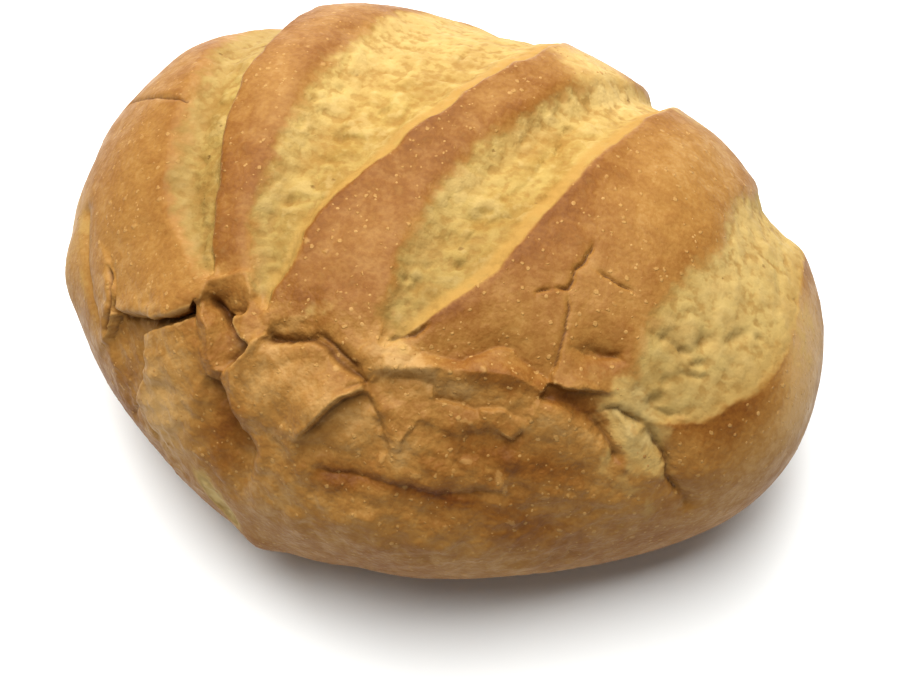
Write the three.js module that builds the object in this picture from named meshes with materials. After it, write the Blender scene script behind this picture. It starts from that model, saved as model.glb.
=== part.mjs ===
// A white cob loaf: an oval, domed loaf with four slashes across its top.
// The slashes opened in the oven, and the crust on one long side is crumpled and folded.
// Millimetres, +Z up, +X along the loaf. The crumpled side faces -Y.
// The origin is under the middle of the loaf, on the surface that it rests on.
import * as THREE from "three";
import { mergeVertices } from "three/addons/utils/BufferGeometryUtils.js";

// ---- driving sizes ----
const HALF_LENGTH = 112;
const HALF_WIDTH = 83;
const CROWN_HEIGHT = 96;
const BELLY_HEIGHT = 36; // where the loaf is widest
const FOOT_DEPTH = 46; // how far the underside would reach below the belly if it were not flat
const FOOT_ROUNDING = 7; // half the height over which the side turns into the flat foot
const PLAN_SQUARENESS = 2.15; // 2 is an ellipse
const DOME_SQUARENESS = 2.2;
const FOOT_SQUARENESS = 2.3;

// The outline in plan swells and draws in: [waves round the loaf, cosine share, sine share].
const OUTLINE_WAVES = [
  [2, -0.032, -0.021],
  [3, 0.025, 0.004],
  [4, 0.023, -0.007],
  [5, -0.004, -0.005],
];

// The crust is laid out on a flat map, in millimetres over the crust from the crown.
// The belly lies at these distances from the crown along X and along Y.
const MAP_REACH = { x: 135, y: 118 };
const RAY_SPREAD = { x: 1.38, y: 1.24 }; // evens out the map's scale between the crown and the belly

// ---- mesh ----
const FACETS = 31; // along each edge of the cube that the mesh starts from
const DENSE_TOWARDS = new THREE.Vector3(0.03, -0.28, 0.3); // smaller facets on the top and the crumpled side

// ---- slashes ----
// Each runs from the back to the front as [map x, map y, half width].
// Its floor climbs to the torn edge on the right over a wall, given in half widths, and the crust
// beyond that edge stands up by the lip.
const SLASHES = [
  {
    name: "first", depth: 5.4, wall: 0.32, lip: 1,
    path: [[-66, 88, 4], [-67, 66, 10], [-67, 48, 11.5], [-65, 30, 9], [-64, 10, 7],
      [-61, -8, 7.2], [-58, -20, 7], [-52, -32, 5], [-43, -44, 1]],
  },
  {
    name: "second", depth: 6.4, wall: 0.5, lip: 0.8,
    path: [[4, 100, 6], [-1, 80, 22], [-6, 62, 25], [-13, 44, 22], [-20, 20, 18.5],
      [-26, 0, 13.5], [-30, -20, 9.5], [-30, -34, 6.6], [-27, -50, 1]],
  },
  {
    name: "third", depth: 5.4, wall: 0.6, lip: 0.5,
    path: [[66, 92, 4], [60, 76, 5], [53, 60, 7], [41, 42, 10], [31, 20, 11.5],
      [22, 0, 13], [15, -20, 12], [9, -36, 7.5], [5, -51, 1]],
  },
  {
    name: "fourth", depth: 5, wall: 0.7, lip: 0,
    path: [[112, 64, 4], [104, 46, 9], [98, 34, 11], [90, 18, 12.5], [87, 0, 13.2],
      [80, -18, 15], [74, -32, 12], [70, -42, 6], [69, -50, 1]],
  },
];
const SLASH_SHOULDER = { from: -1.3, over: 0.8 }; // where the crust rolls down on the left, in half widths
const SLASH_FLOOR = { from: -0.4, over: 1.2, rise: 0.22 }; // the floor climbs a little towards the right
const SLASH_LIP_REACH = 7;

// ---- crumpled side: crust plates, each with corners as [map x, map y, height over the plain loaf] ----
const PLATES = {
  endPlate: [[-85, -37, 0.6], [-77, -48, 1.8], [-77, -55, 2.2], [-86, -62, 1.2], [-105, -56, 0], [-98, -38, 0]],
  lobe: [[-81, -35, 0], [-76, -48, 0.6], [-70, -52, 1.8], [-58, -53, 3], [-46, -50, 2.6], [-43, -44, 1], [-50, -36, 0]],
  hollow: [[-76, -52, -2.6], [-60, -54, -3.4], [-46, -50, -2.6], [-52, -56, -1], [-63, -60, -2],
    [-65, -70, -2.8], [-74, -83, -0.6], [-86, -80, 0], [-82, -64, -0.6]],
  leftPlate: [[-66, -60, 1], [-48, -53, 1], [-41, -64, 0.4], [-44, -75, 0.2], [-44, -93, 0],
    [-54, -99, 0], [-72, -81, 1], [-63, -65, 1.4]],
  dent: [[-40, -68, -1], [-34, -70, -4], [-26, -80, -4.8], [-25, -89, -4], [-33, -102, -0.6],
    [-45, -103, 0], [-44, -84, 0.3], [-43, -75, 0.2]],
  tongue: [[-45, -50, 1], [-42, -52, 1.8], [-38, -60, 2], [-36, -66, 1], [-40, -66, 0.4], [-43, -58, 0.7]],
  tongueSide: [[-42, -51, -1.4], [-36, -52, -3], [-30, -57, -2.6], [-35, -64, 0.6], [-39, -58, 1.8]],
  bandTip: [[-30, -47, 0.2], [-23, -53, 0.6], [-26, -56, 2.2], [-32, -57, 2.4], [-34, -54, 2.4]],
  largePlate: [[-25, -54, 3], [-12, -54, 1.2], [3, -62, 2.2], [-5, -70, 3.6], [-14, -78, 1.2], [-27, -79, 0.8], [-33, -68, 2.2]],
  underPlate: [[-1, -65, -0.4], [4, -62, -0.8], [12, -71, -1.4], [13, -80, -0.8], [-1, -82, 0], [-9, -76, 0.2]],
  ridgeTop: [[6, -52, 1.2], [19, -50, -0.4], [35, -42, -1.2], [46, -45, -0.4], [45, -48, 1.8], [28, -50, 2.8], [8, -55, 2]],
  ridgeFront: [[8, -55, 2], [28, -50, 2.8], [45, -48, 1.8], [44, -57, 0.4], [26, -59, -1.2], [14, -56, -2.2]],
  flap: [[19, -62, 1], [32, -58, 0.4], [44, -57, 1.4], [44, -62, 2.4], [31, -65, 1.7], [21, -65, 0.9]],
  underFlap: [[16, -71, 0.4], [20, -66, -0.6], [31, -66, -1.5], [44, -63, -1.8], [45, -66, -0.4], [32, -72, 0.2]],
  rightSlope: [[46, -51, 2.4], [59, -51, 1.8], [69, -58, 0.3], [64, -67, 0], [46, -67, 0]],
  rightHollow: [[47, -46, -1], [62, -44, 0], [60, -51, -2.6], [52, -50, -3.2], [46, -50, -2.6]],
  bellyTop: [[15, -78, -0.6], [24, -73, 0.2], [45, -66, 0.4], [44, -75, -1.2], [30, -81, -2], [18, -81, -1.2]],
};
const PLATE_GAIN = 1.1;
const PLATE_BLEND = 1.5; // over about this length one plate's edge turns into the next
const PLATE_MARGIN = 1.5;

// ---- folds and creases between the plates ----
const CREASES = [
  { name: "lobe fold", depth: 1.6, width: 3, path: [[-79, -53], [-66, -55], [-52, -53], [-44, -48]] },
  { name: "branch", depth: 1, width: 2.8, path: [[-63, -58], [-66, -70], [-72, -79], [-84, -87]] },
  { name: "pinch", depth: 2, width: 2.8, path: [[-44, -47], [-39, -51], [-33, -56]] },
  { name: "plate top", depth: 1.8, width: 2.6, path: [[-26, -55], [-17, -55], [-9, -54], [4, -60]] },
  { name: "cross", depth: 1.2, width: 2.6, path: [[3, -60], [9, -67], [12, -71]] },
  { name: "belly fold", depth: 1.6, width: 2.8, path: [[10, -80], [19, -82], [29, -81], [46, -74]] },
  { name: "end fold", depth: 1.8, width: 2.6, path: [[72, -46], [80, -50], [86, -57], [93, -66]] },
  { name: "left end fold", depth: 1.7, width: 2.8, path: [[-99, -20], [-95, -42], [-86, -60]] },
  { name: "crack", depth: 0.8, width: 2.4, path: [[46, -9], [44, -22], [46, -33], [46, -45]] },
];
const CREASE_FADE = 5; // a crease fades out over this length at each end

// ---- broad swells and dents: centre, reach along each map axis, rise ----
const SWELLS = [
  { x: -17, y: -47, rx: 8, ry: 5, rise: 1.6 },
  { x: 2, y: -77, rx: 8, ry: 4, rise: -1.4 },
  { x: 20, y: -98, rx: 50, ry: 13, rise: 2 },
  { x: 102, y: -30, rx: 16, ry: 22, rise: 1.8 },
  { x: -48, y: 30, rx: 9, ry: 45, rise: 1.6 },
  { x: 62, y: 30, rx: 12, ry: 45, rise: 1.4 },
  { x: -112, y: -40, rx: 9, ry: 11, rise: 2.4 },
  { x: -117, y: -1, rx: 8, ry: 9, rise: -2 },
  { x: -88, y: 36, rx: 12, ry: 14, rise: 2 },
  { x: 76, y: 52, rx: 12, ry: 12, rise: 2 },
  { x: -31, y: -124, rx: 9, ry: 8, rise: 2.2 },
  { x: 12, y: -130, rx: 14, ry: 9, rise: -1 },
];

// ---- slow unevenness of the whole crust: [wave along x, y and z per millimetre, phase, height] ----
const LUMPS = [
  [0.052, 0.031, 0.044, 0.6, 0.5],
  [-0.034, 0.071, 0.028, 2.1, 0.4],
  [0.093, -0.058, 0.067, 4.0, 0.3],
  [0.021, 0.118, -0.083, 1.3, 0.25],
];

const smoothStep = (t) => {
  const u = Math.min(Math.max(t, 0), 1);
  return u * u * (3 - 2 * u);
};
const softEdge = (t, halfWidth) => smoothStep(0.5 + t / (2 * halfWidth));

// ---- the plain loaf, before its slashes and folds ----
function outlineGain(bearing) {
  return OUTLINE_WAVES.reduce(
    (gain, [waves, cosine, sine]) => gain + cosine * Math.cos(waves * bearing) + sine * Math.sin(waves * bearing),
    1,
  );
}

// The point where a ray from the loaf's middle leaves the plain loaf, and the outward normal there.
function plainLoaf(direction) {
  const gain = outlineGain(Math.atan2(direction.y, direction.x));
  const a = HALF_LENGTH * gain;
  const b = HALF_WIDTH * gain;
  const [c, squareness] =
    direction.z >= 0 ? [CROWN_HEIGHT - BELLY_HEIGHT, DOME_SQUARENESS] : [FOOT_DEPTH, FOOT_SQUARENESS];
  const p = PLAN_SQUARENESS;
  const [x, y, z] = [Math.abs(direction.x), Math.abs(direction.y), Math.abs(direction.z)];
  const plan = (x / a) ** p + (y / b) ** p;
  const radius = (plan ** (squareness / p) + (z / c) ** squareness) ** (-1 / squareness);
  const planSlope = plan > 0 ? plan ** (squareness / p - 1) : 0;
  const normal = new THREE.Vector3(
    (Math.sign(direction.x) * planSlope * x ** (p - 1)) / a ** p,
    (Math.sign(direction.y) * planSlope * y ** (p - 1)) / b ** p,
    (Math.sign(direction.z) * z ** (squareness - 1)) / c ** squareness,
  ).normalize();
  const point = direction.clone().multiplyScalar(radius);
  point.z += BELLY_HEIGHT;
  return { point, normal };
}

// Heights near and below zero turn into the flat foot.
function flatFoot(z) {
  const w = FOOT_ROUNDING;
  if (z > w) return z;
  return z < -w ? 0 : (z + w) ** 2 / (4 * w);
}

// ---- the crust map ----
function mapPosition(ray) {
  const share = Math.acos(THREE.MathUtils.clamp(ray.z, -1, 1)) / (Math.PI / 2);
  const bearing = Math.atan2(ray.y, ray.x);
  return new THREE.Vector2(
    share * Math.cos(bearing) * MAP_REACH.x,
    share * Math.sin(bearing) * MAP_REACH.y,
  );
}

// A smooth run of samples through a path's points; each keeps its third number, if it has one.
function sampled(path, perSpan = 4) {
  const corners = path.map(([x, y, w = 0]) => new THREE.Vector3(x, y, w));
  return new THREE.CatmullRomCurve3(corners, false, "catmullrom", 0.5).getPoints((path.length - 1) * perSpan);
}

// Where a map position lies against a path: the signed distance from it (left is positive),
// the place along it in millimetres, its whole length, and the third number there.
function alongPath(samples, at) {
  let best = { distance: Infinity };
  let travelled = 0;
  for (let i = 0; i + 1 < samples.length; i++) {
    const [from, to] = [samples[i], samples[i + 1]];
    const [dx, dy] = [to.x - from.x, to.y - from.y];
    const length = Math.hypot(dx, dy);
    const share = THREE.MathUtils.clamp(((at.x - from.x) * dx + (at.y - from.y) * dy) / length ** 2, 0, 1);
    const [ox, oy] = [at.x - from.x - share * dx, at.y - from.y - share * dy];
    const distance = Math.hypot(ox, oy);
    if (distance < best.distance) {
      const side = dx * oy - dy * ox >= 0 ? 1 : -1;
      best = { distance, signed: side * distance, place: travelled + share * length, width: from.z + share * (to.z - from.z) };
    }
    travelled += length;
  }
  return { ...best, length: travelled };
}

// ---- relief, each a rise over the plain loaf at a map position ----
const slashes = SLASHES.map((slash) => ({ ...slash, samples: sampled(slash.path) }));
const creases = CREASES.map((crease) => ({ ...crease, samples: sampled(crease.path) }));

function slashRelief(at) {
  return slashes.reduce((total, { depth, wall, lip, samples }) => {
    const near = alongPath(samples, at);
    const ends = Math.sqrt(Math.max(Math.sin((Math.PI * near.place) / near.length), 0));
    const halfWidth = Math.max(near.width, 1);
    const across = near.signed / halfWidth; // -1 on the left edge and 1 on the right: left is +X on the way to -Y
    const beyond = (across - 1) * halfWidth;
    const fall = smoothStep((across - SLASH_SHOULDER.from) / SLASH_SHOULDER.over);
    const floor = 1 - SLASH_FLOOR.rise * smoothStep((across - SLASH_FLOOR.from) / SLASH_FLOOR.over);
    const climb = smoothStep((1.05 - across) / wall);
    const edge = lip * Math.exp(-Math.max(beyond, 0) / SLASH_LIP_REACH) * softEdge(beyond - 0.4, 0.8);
    return total + ends * (edge - depth * fall * floor * climb);
  }, 0);
}

// How far a map position lies inside a plate's outline, below 0 outside it.
function insideBy(corners, at) {
  let inside = false;
  let nearest = Infinity;
  corners.forEach(([x0, y0], i) => {
    const [x1, y1] = corners[(i + 1) % corners.length];
    const [dx, dy] = [x1 - x0, y1 - y0];
    const share = THREE.MathUtils.clamp(((at.x - x0) * dx + (at.y - y0) * dy) / (dx * dx + dy * dy), 0, 1);
    nearest = Math.min(nearest, Math.hypot(at.x - x0 - share * dx, at.y - y0 - share * dy));
    if (y0 > at.y !== y1 > at.y && at.x < (dx * (at.y - y0)) / dy + x0) inside = !inside;
  });
  return inside ? nearest : -nearest;
}

// The plate's height there: straight along its edges and smooth between them (mean value coordinates).
function plateHeight(corners, at) {
  const away = corners.map(([x, y, height]) => ({ x: x - at.x, y: y - at.y, height }));
  const halfTangents = away.map((from, i) => {
    const to = away[(i + 1) % away.length];
    const reaches = Math.hypot(from.x, from.y) * Math.hypot(to.x, to.y);
    return (from.x * to.y - from.y * to.x) / Math.max(reaches + from.x * to.x + from.y * to.y, 1e-4);
  });
  let [total, height] = [0, 0];
  away.forEach((corner, i) => {
    const before = halfTangents[(i + away.length - 1) % away.length];
    const weight = (halfTangents[i] + before) / (Math.hypot(corner.x, corner.y) + 1e-6);
    total += weight;
    height += weight * corner.height;
  });
  const heights = corners.map((corner) => corner[2]);
  if (Math.abs(total) < 1e-6) return 0;
  return THREE.MathUtils.clamp(height / total, Math.min(...heights), Math.max(...heights));
}

// Each place takes the height of the plate that it lies deepest in.
function plateRelief(at) {
  let total = 0;
  let weight = Math.exp(-PLATE_MARGIN / PLATE_BLEND);
  for (const corners of Object.values(PLATES)) {
    const inside = insideBy(corners, at);
    if (inside < -4 * PLATE_BLEND) continue;
    const share = Math.exp(Math.min(inside, 5) / PLATE_BLEND);
    total += share * plateHeight(corners, at);
    weight += share;
  }
  return (PLATE_GAIN * total) / weight;
}

function creaseRelief(at) {
  return creases.reduce((sum, { depth, width, samples }) => {
    const near = alongPath(samples, at);
    const fade = smoothStep(near.place / CREASE_FADE) * smoothStep((near.length - near.place) / CREASE_FADE);
    return sum - fade * depth * Math.exp(-((near.distance / width) ** 2));
  }, 0);
}

function swellRelief(at) {
  return SWELLS.reduce(
    (sum, { x, y, rx, ry, rise }) => sum + rise * Math.exp(-(((at.x - x) / rx) ** 2) - ((at.y - y) / ry) ** 2),
    0,
  );
}

function lumpRelief(point) {
  return LUMPS.reduce(
    (sum, [kx, ky, kz, phase, height]) => sum + height * Math.sin(kx * point.x + ky * point.y + kz * point.z + phase),
    0,
  );
}

// ---- one vertex of the loaf, from a ray on the unit sphere ----
function crustPoint(ray) {
  const direction = new THREE.Vector3(ray.x * RAY_SPREAD.x, ray.y * RAY_SPREAD.y, ray.z).normalize();
  const { point, normal } = plainLoaf(direction);
  const at = mapPosition(ray);
  const relief = slashRelief(at) + plateRelief(at) + creaseRelief(at) + swellRelief(at) + lumpRelief(point);
  const aboveFoot = smoothStep((point.z - 2) / 14); // the foot stays plain
  point.addScaledVector(normal, relief * aboveFoot);
  point.z = flatFoot(point.z);
  return point;
}

// ---- the loaf: a finely divided cube, blown up into a sphere and then into the crust ----
function loafGeometry() {
  const cube = new THREE.BoxGeometry(2, 2, 2, FACETS, FACETS, FACETS);
  cube.deleteAttribute("normal");
  cube.deleteAttribute("uv");
  const geometry = mergeVertices(cube);
  const position = geometry.attributes.position;
  const corner = new THREE.Vector3();
  for (let i = 0; i < position.count; i++) {
    corner.fromBufferAttribute(position, i);
    // Evens out the squares of the cube's faces before they are rounded.
    const even = corner.clone().multiplyScalar(Math.PI / 4);
    const ray = new THREE.Vector3(Math.tan(even.x), Math.tan(even.y), Math.tan(even.z)).normalize();
    const place = crustPoint(ray.add(DENSE_TOWARDS).normalize());
    position.setXYZ(i, place.x, place.y, place.z);
  }
  geometry.computeBoundingBox();
  const middle = geometry.boundingBox.getCenter(new THREE.Vector3());
  geometry.translate(-middle.x, -middle.y, 0); // the origin is under the middle
  geometry.computeVertexNormals();
  return geometry;
}

const crust = new THREE.MeshStandardMaterial({ name: "crust", color: 0xb97f45, roughness: 0.6, metalness: 0 });

const loaf = new THREE.Mesh(loafGeometry(), crust);
loaf.name = "loaf";

const group = new THREE.Group();
group.name = "cob_loaf";
group.add(loaf);

export default group;
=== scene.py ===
import math

import bpy
import numpy as np
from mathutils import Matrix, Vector


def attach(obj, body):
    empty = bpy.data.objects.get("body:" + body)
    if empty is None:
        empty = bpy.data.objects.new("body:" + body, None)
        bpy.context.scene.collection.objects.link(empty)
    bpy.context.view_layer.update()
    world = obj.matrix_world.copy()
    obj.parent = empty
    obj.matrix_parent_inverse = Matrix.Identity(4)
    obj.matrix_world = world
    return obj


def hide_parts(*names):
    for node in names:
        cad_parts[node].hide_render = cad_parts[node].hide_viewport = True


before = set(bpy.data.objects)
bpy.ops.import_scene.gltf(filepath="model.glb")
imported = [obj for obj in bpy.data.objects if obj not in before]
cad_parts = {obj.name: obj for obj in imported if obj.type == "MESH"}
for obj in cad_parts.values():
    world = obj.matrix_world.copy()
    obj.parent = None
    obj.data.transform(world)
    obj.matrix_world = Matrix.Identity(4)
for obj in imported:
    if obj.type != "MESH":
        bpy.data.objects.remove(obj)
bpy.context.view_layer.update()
print("frame loaded")


def smoothStep(t):
    t = np.clip(t, 0.0, 1.0)
    return t * t * (3 - 2 * t)


def rampUp(t, start, over):  # 0 up to the start and 1 past the whole ramp
    return smoothStep((t - start) / over)


def softEdge(t, halfWidth):  # 0 on one side of t = 0 and 1 on the other
    return smoothStep(0.5 + t / (2 * halfWidth))


def hashed(*whole):  # a repeatable number from -1 to 1 for each set of whole numbers
    primes = (73856093, 19349663, 83492791, 15485863)
    h = np.zeros(np.shape(whole[0]), np.uint64)
    for value, prime in zip(whole, primes):
        h ^= (np.asarray(value, np.int64) * prime).astype(np.uint64)
    h = (h ^ (h >> np.uint64(15))) * np.uint64(2246822519)
    h = (h ^ (h >> np.uint64(13))) * np.uint64(3266489917)
    return ((h >> np.uint64(8)) & np.uint64(0xFFFF)).astype(float) / 32767.5 - 1


def cloudNoise(points, size, seed):  # smooth noise from -1 to 1 with lumps of the given size
    scaled = points / size
    cell = np.floor(scaled)
    inside = scaled - cell
    inside = inside * inside * (3 - 2 * inside)
    cell = cell.astype(np.int64)
    total = np.zeros(len(points))
    for corner in range(8):
        step = np.array([corner & 1, corner >> 1 & 1, corner >> 2 & 1])
        weight = np.prod(np.where(step == 1, inside, 1 - inside), axis=1)
        total += weight * hashed(*(cell + step).T, np.full(len(points), seed))
    return total


def layeredNoise(points, size, seed, layers):
    return sum(cloudNoise(points, size / 2**k, seed + k) / 2**k for k in range(layers)) / 1.6


def facetNoise(x, y, size, seed):  # flat triangles with crisp edges, as in crumpled paper
    a = (x - y / math.sqrt(3)) / size
    b = (2 * y / math.sqrt(3)) / size
    i, j = np.floor(a), np.floor(b)
    fa, fb = a - i, b - j
    upper = fa + fb > 1
    near = hashed(np.where(upper, i + 1, i), np.where(upper, j + 1, j), np.full(len(x), seed))
    right = hashed(i + 1, j, np.full(len(x), seed))
    above = hashed(i, j + 1, np.full(len(x), seed))
    nearShare = np.where(upper, fa + fb - 1, 1 - fa - fb)
    rightShare = np.where(upper, 1 - fb, fa)
    aboveShare = np.where(upper, 1 - fa, fb)
    return near * nearShare + right * rightShare + above * aboveShare


loafForm = {  # millimetres
    "halfLength": 112.0,
    "halfWidth": 83.0,
    "crownHeight": 96.0,
    "bellyHeight": 36.0,  # where the loaf is widest
    "footDepth": 46.0,  # how far the underside would reach below the belly if it weren't flat
    "inset": 0.35,  # how far the crust stays inside the solid's, to leave room for blisters
    "footRounding": 7.0,  # half the height over which the side turns into the flat foot
    "planSquareness": 2.15,
    "domeSquareness": 2.2,
    "footSquareness": 2.3,
    # how many waves go round the outline, with their cosine and sine parts
    "outlineWaves": [(2, -0.032, -0.021), (3, 0.025, 0.004), (4, 0.023, -0.007), (5, -0.004, -0.005)],
    "plainFoot": (2.0, 14.0),  # the height where the relief starts, and over how much it grows
    "mapReach": (135.0, 118.0),  # from the crown to the belly over the crust, along X and along Y
    "raySpread": (1.38, 1.24),
    "denseTowards": (0.03, -0.16, 0.19),  # smaller facets on the top and the crumpled side
    "facets": 36,  # along each edge of the cube that the mesh starts from
    "splits": 3,  # times that a facet may be halved, down to 0.4 mm along cracks and torn edges
    "lumps": [  # waves along x, y and z, phase, height
        (0.052, 0.031, 0.044, 0.6, 0.5),
        (-0.034, 0.071, 0.028, 2.1, 0.4),
        (0.093, -0.058, 0.067, 4.0, 0.3),
        (0.021, 0.118, -0.083, 1.3, 0.25),
    ],
}
smallestSteps = loafForm["facets"] * 2 ** loafForm["splits"]  # along each edge of the cube


# whole numbers for places on the cube, counted in half steps from a square's corner
def spotsOf(squares, across, up):
    axis, side, i, j, _ = squares.T
    row = np.arange(len(squares))
    spots = np.empty((len(squares), 3), int)
    spots[row, axis] = side * smallestSteps
    spots[row, (axis + 1) % 3] = 2 * i + across - smallestSteps
    spots[row, (axis + 2) % 3] = 2 * j + up - smallestSteps
    return spots


def raysThrough(spots):
    even = np.tan(spots / smallestSteps * math.pi / 4)
    rays = even / np.linalg.norm(even, axis=1, keepdims=True) + np.array(loafForm["denseTowards"])
    return rays / np.linalg.norm(rays, axis=1, keepdims=True)


# a closed mesh of squares, each split as often as wanted, without gaps where sizes meet
def gradedSphere(wantedSplits):
    finest = 2 ** loafForm["splits"]
    steps = range(0, smallestSteps, finest)
    squares = np.array([(axis, side, i, j, finest)
                        for axis in range(3) for side in (-1, 1) for i in steps for j in steps])
    groups = []
    for split in range(1, loafForm["splits"] + 1):
        step = squares[0, 4]
        chosen = wantedSplits(raysThrough(spotsOf(squares, step, step))) >= split
        groups.append(squares[~chosen])
        half = step // 2
        squares = np.concatenate([squares[chosen] + [0, 0, i * half, j * half, -half]
                                  for i in (0, 1) for j in (0, 1)])
    groups = [group for group in [*groups, squares] if len(group)]
    base = 2 * smallestSteps + 1
    rings = []
    for group in groups:
        step = group[0, 4]
        around = [(2 * k, 0) for k in range(step)] + [(2 * step, 2 * k) for k in range(step)]
        around += [(2 * step - right, 2 * step - up) for right, up in around]
        spots = [spotsOf(group, *place) + smallestSteps for place in around]
        rings.append(np.stack([spot @ [base * base, base, 1] for spot in spots], -1))
    corners = np.unique(np.concatenate([ring[:, ::ring.shape[1] // 4].ravel() for ring in rings]))
    faces = []
    for group, ring in zip(groups, rings):
        found = np.minimum(np.searchsorted(corners, ring), len(corners) - 1)
        found[corners[found] != ring] = -1
        for side, row in zip(group[:, 1], found.tolist()):
            face = [corner for corner in row if corner >= 0]
            faces.append(face if side == 1 else face[::-1])
    spots = np.stack([corners // base**2, corners // base % base, corners % base], -1) - smallestSteps
    return raysThrough(spots), faces


def toMap(rays):
    share = np.arccos(np.clip(rays[:, 2], -1, 1)) / (math.pi / 2)
    bearing = np.arctan2(rays[:, 1], rays[:, 0])
    reachX, reachY = loafForm["mapReach"]
    return np.stack([share * np.cos(bearing) * reachX, share * np.sin(bearing) * reachY], -1)


def fromMap(at):
    reachX, reachY = loafForm["mapReach"]
    u, v = at[:, 0] / reachX, at[:, 1] / reachY
    lean = np.hypot(u, v) * math.pi / 2
    bearing = np.arctan2(v, u)
    return np.stack([np.sin(lean) * np.cos(bearing), np.sin(lean) * np.sin(bearing), np.cos(lean)], -1)


def plainLoaf(rays):  # the loaf before its slashes and folds, and its outward normals
    form = loafForm
    direction = rays * np.array([*form["raySpread"], 1.0])
    direction /= np.linalg.norm(direction, axis=1, keepdims=True)
    bearing = np.arctan2(direction[:, 1], direction[:, 0])
    gain = 1 + sum(c * np.cos(k * bearing) + s * np.sin(k * bearing) for k, c, s in form["outlineWaves"])
    a = form["halfLength"] * gain
    b = form["halfWidth"] * gain
    up = direction[:, 2] >= 0
    c = np.where(up, form["crownHeight"] - form["bellyHeight"], form["footDepth"])
    q = np.where(up, form["domeSquareness"], form["footSquareness"])
    p = form["planSquareness"]
    size = np.abs(direction)
    plan = (size[:, 0] / a) ** p + (size[:, 1] / b) ** p
    radius = (plan ** (q / p) + (size[:, 2] / c) ** q) ** (-1 / q)
    planSlope = np.maximum(plan, 1e-12) ** (q / p - 1)
    normals = np.stack([
        np.sign(direction[:, 0]) * planSlope * size[:, 0] ** (p - 1) / a**p,
        np.sign(direction[:, 1]) * planSlope * size[:, 1] ** (p - 1) / b**p,
        np.sign(direction[:, 2]) * size[:, 2] ** (q - 1) / c**q,
    ], -1)
    normals /= np.linalg.norm(normals, axis=1, keepdims=True)
    points = direction * radius[:, None] + np.array([0, 0, form["bellyHeight"]])
    return points, normals


def flatFoot(z):
    w = loafForm["footRounding"]
    return np.where(z > w, z, np.where(z < -w, 0, (z + w) ** 2 / (4 * w)))


def smoothPath(path, perSpan=4):  # a curve through every point of the path
    points = np.array(path, float)
    points = np.vstack([2 * points[0] - points[1], points, 2 * points[-1] - points[-2]])
    samples = []
    for p0, p1, p2, p3 in zip(points, points[1:], points[2:], points[3:]):
        for t in np.arange(perSpan) / perSpan:
            bend = -p0 + 3 * p1 - 3 * p2 + p3
            samples.append(p1 + 0.5 * t * (p2 - p0 + t * (2 * p0 - 5 * p1 + 4 * p2 - p3 + t * bend)))
    return np.array([*samples, points[-2]])


# signed distance from a path (left is positive), place along it and the path's further values there
def alongPath(samples, at, reach=np.inf):
    best = np.full(len(at), reach)
    signed = np.full(len(at), -reach)
    place = np.zeros(len(at))
    offset = np.zeros((len(at), 2))
    extra = np.ones((len(at), samples.shape[1] - 2))
    travelled = 0.0
    x, y = at.T
    for start, end in zip(samples, samples[1:]):
        run = end[:2] - start[:2]
        length = math.hypot(*run)
        low, high = np.minimum(start, end)[:2] - reach, np.maximum(start, end)[:2] + reach
        nearby = np.flatnonzero((x > low[0]) & (x < high[0]) & (y > low[1]) & (y < high[1]))
        away = at[nearby] - start[:2]
        share = np.clip(away @ run / length**2, 0, 1)
        away -= share[:, None] * run
        distance = np.hypot(away[:, 0], away[:, 1])
        closer = distance < best[nearby]
        nearby, away, share, distance = nearby[closer], away[closer], share[closer], distance[closer]
        best[nearby] = distance
        signed[nearby] = np.where(run[0] * away[:, 1] - run[1] * away[:, 0] >= 0, distance, -distance)
        place[nearby] = travelled + share * length
        offset[nearby] = away
        extra[nearby] = start[2:] + share[:, None] * (end[2:] - start[2:])
        travelled += length
    return {"signed": signed, "place": place, "offset": offset, "extra": extra, "length": travelled}


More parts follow.
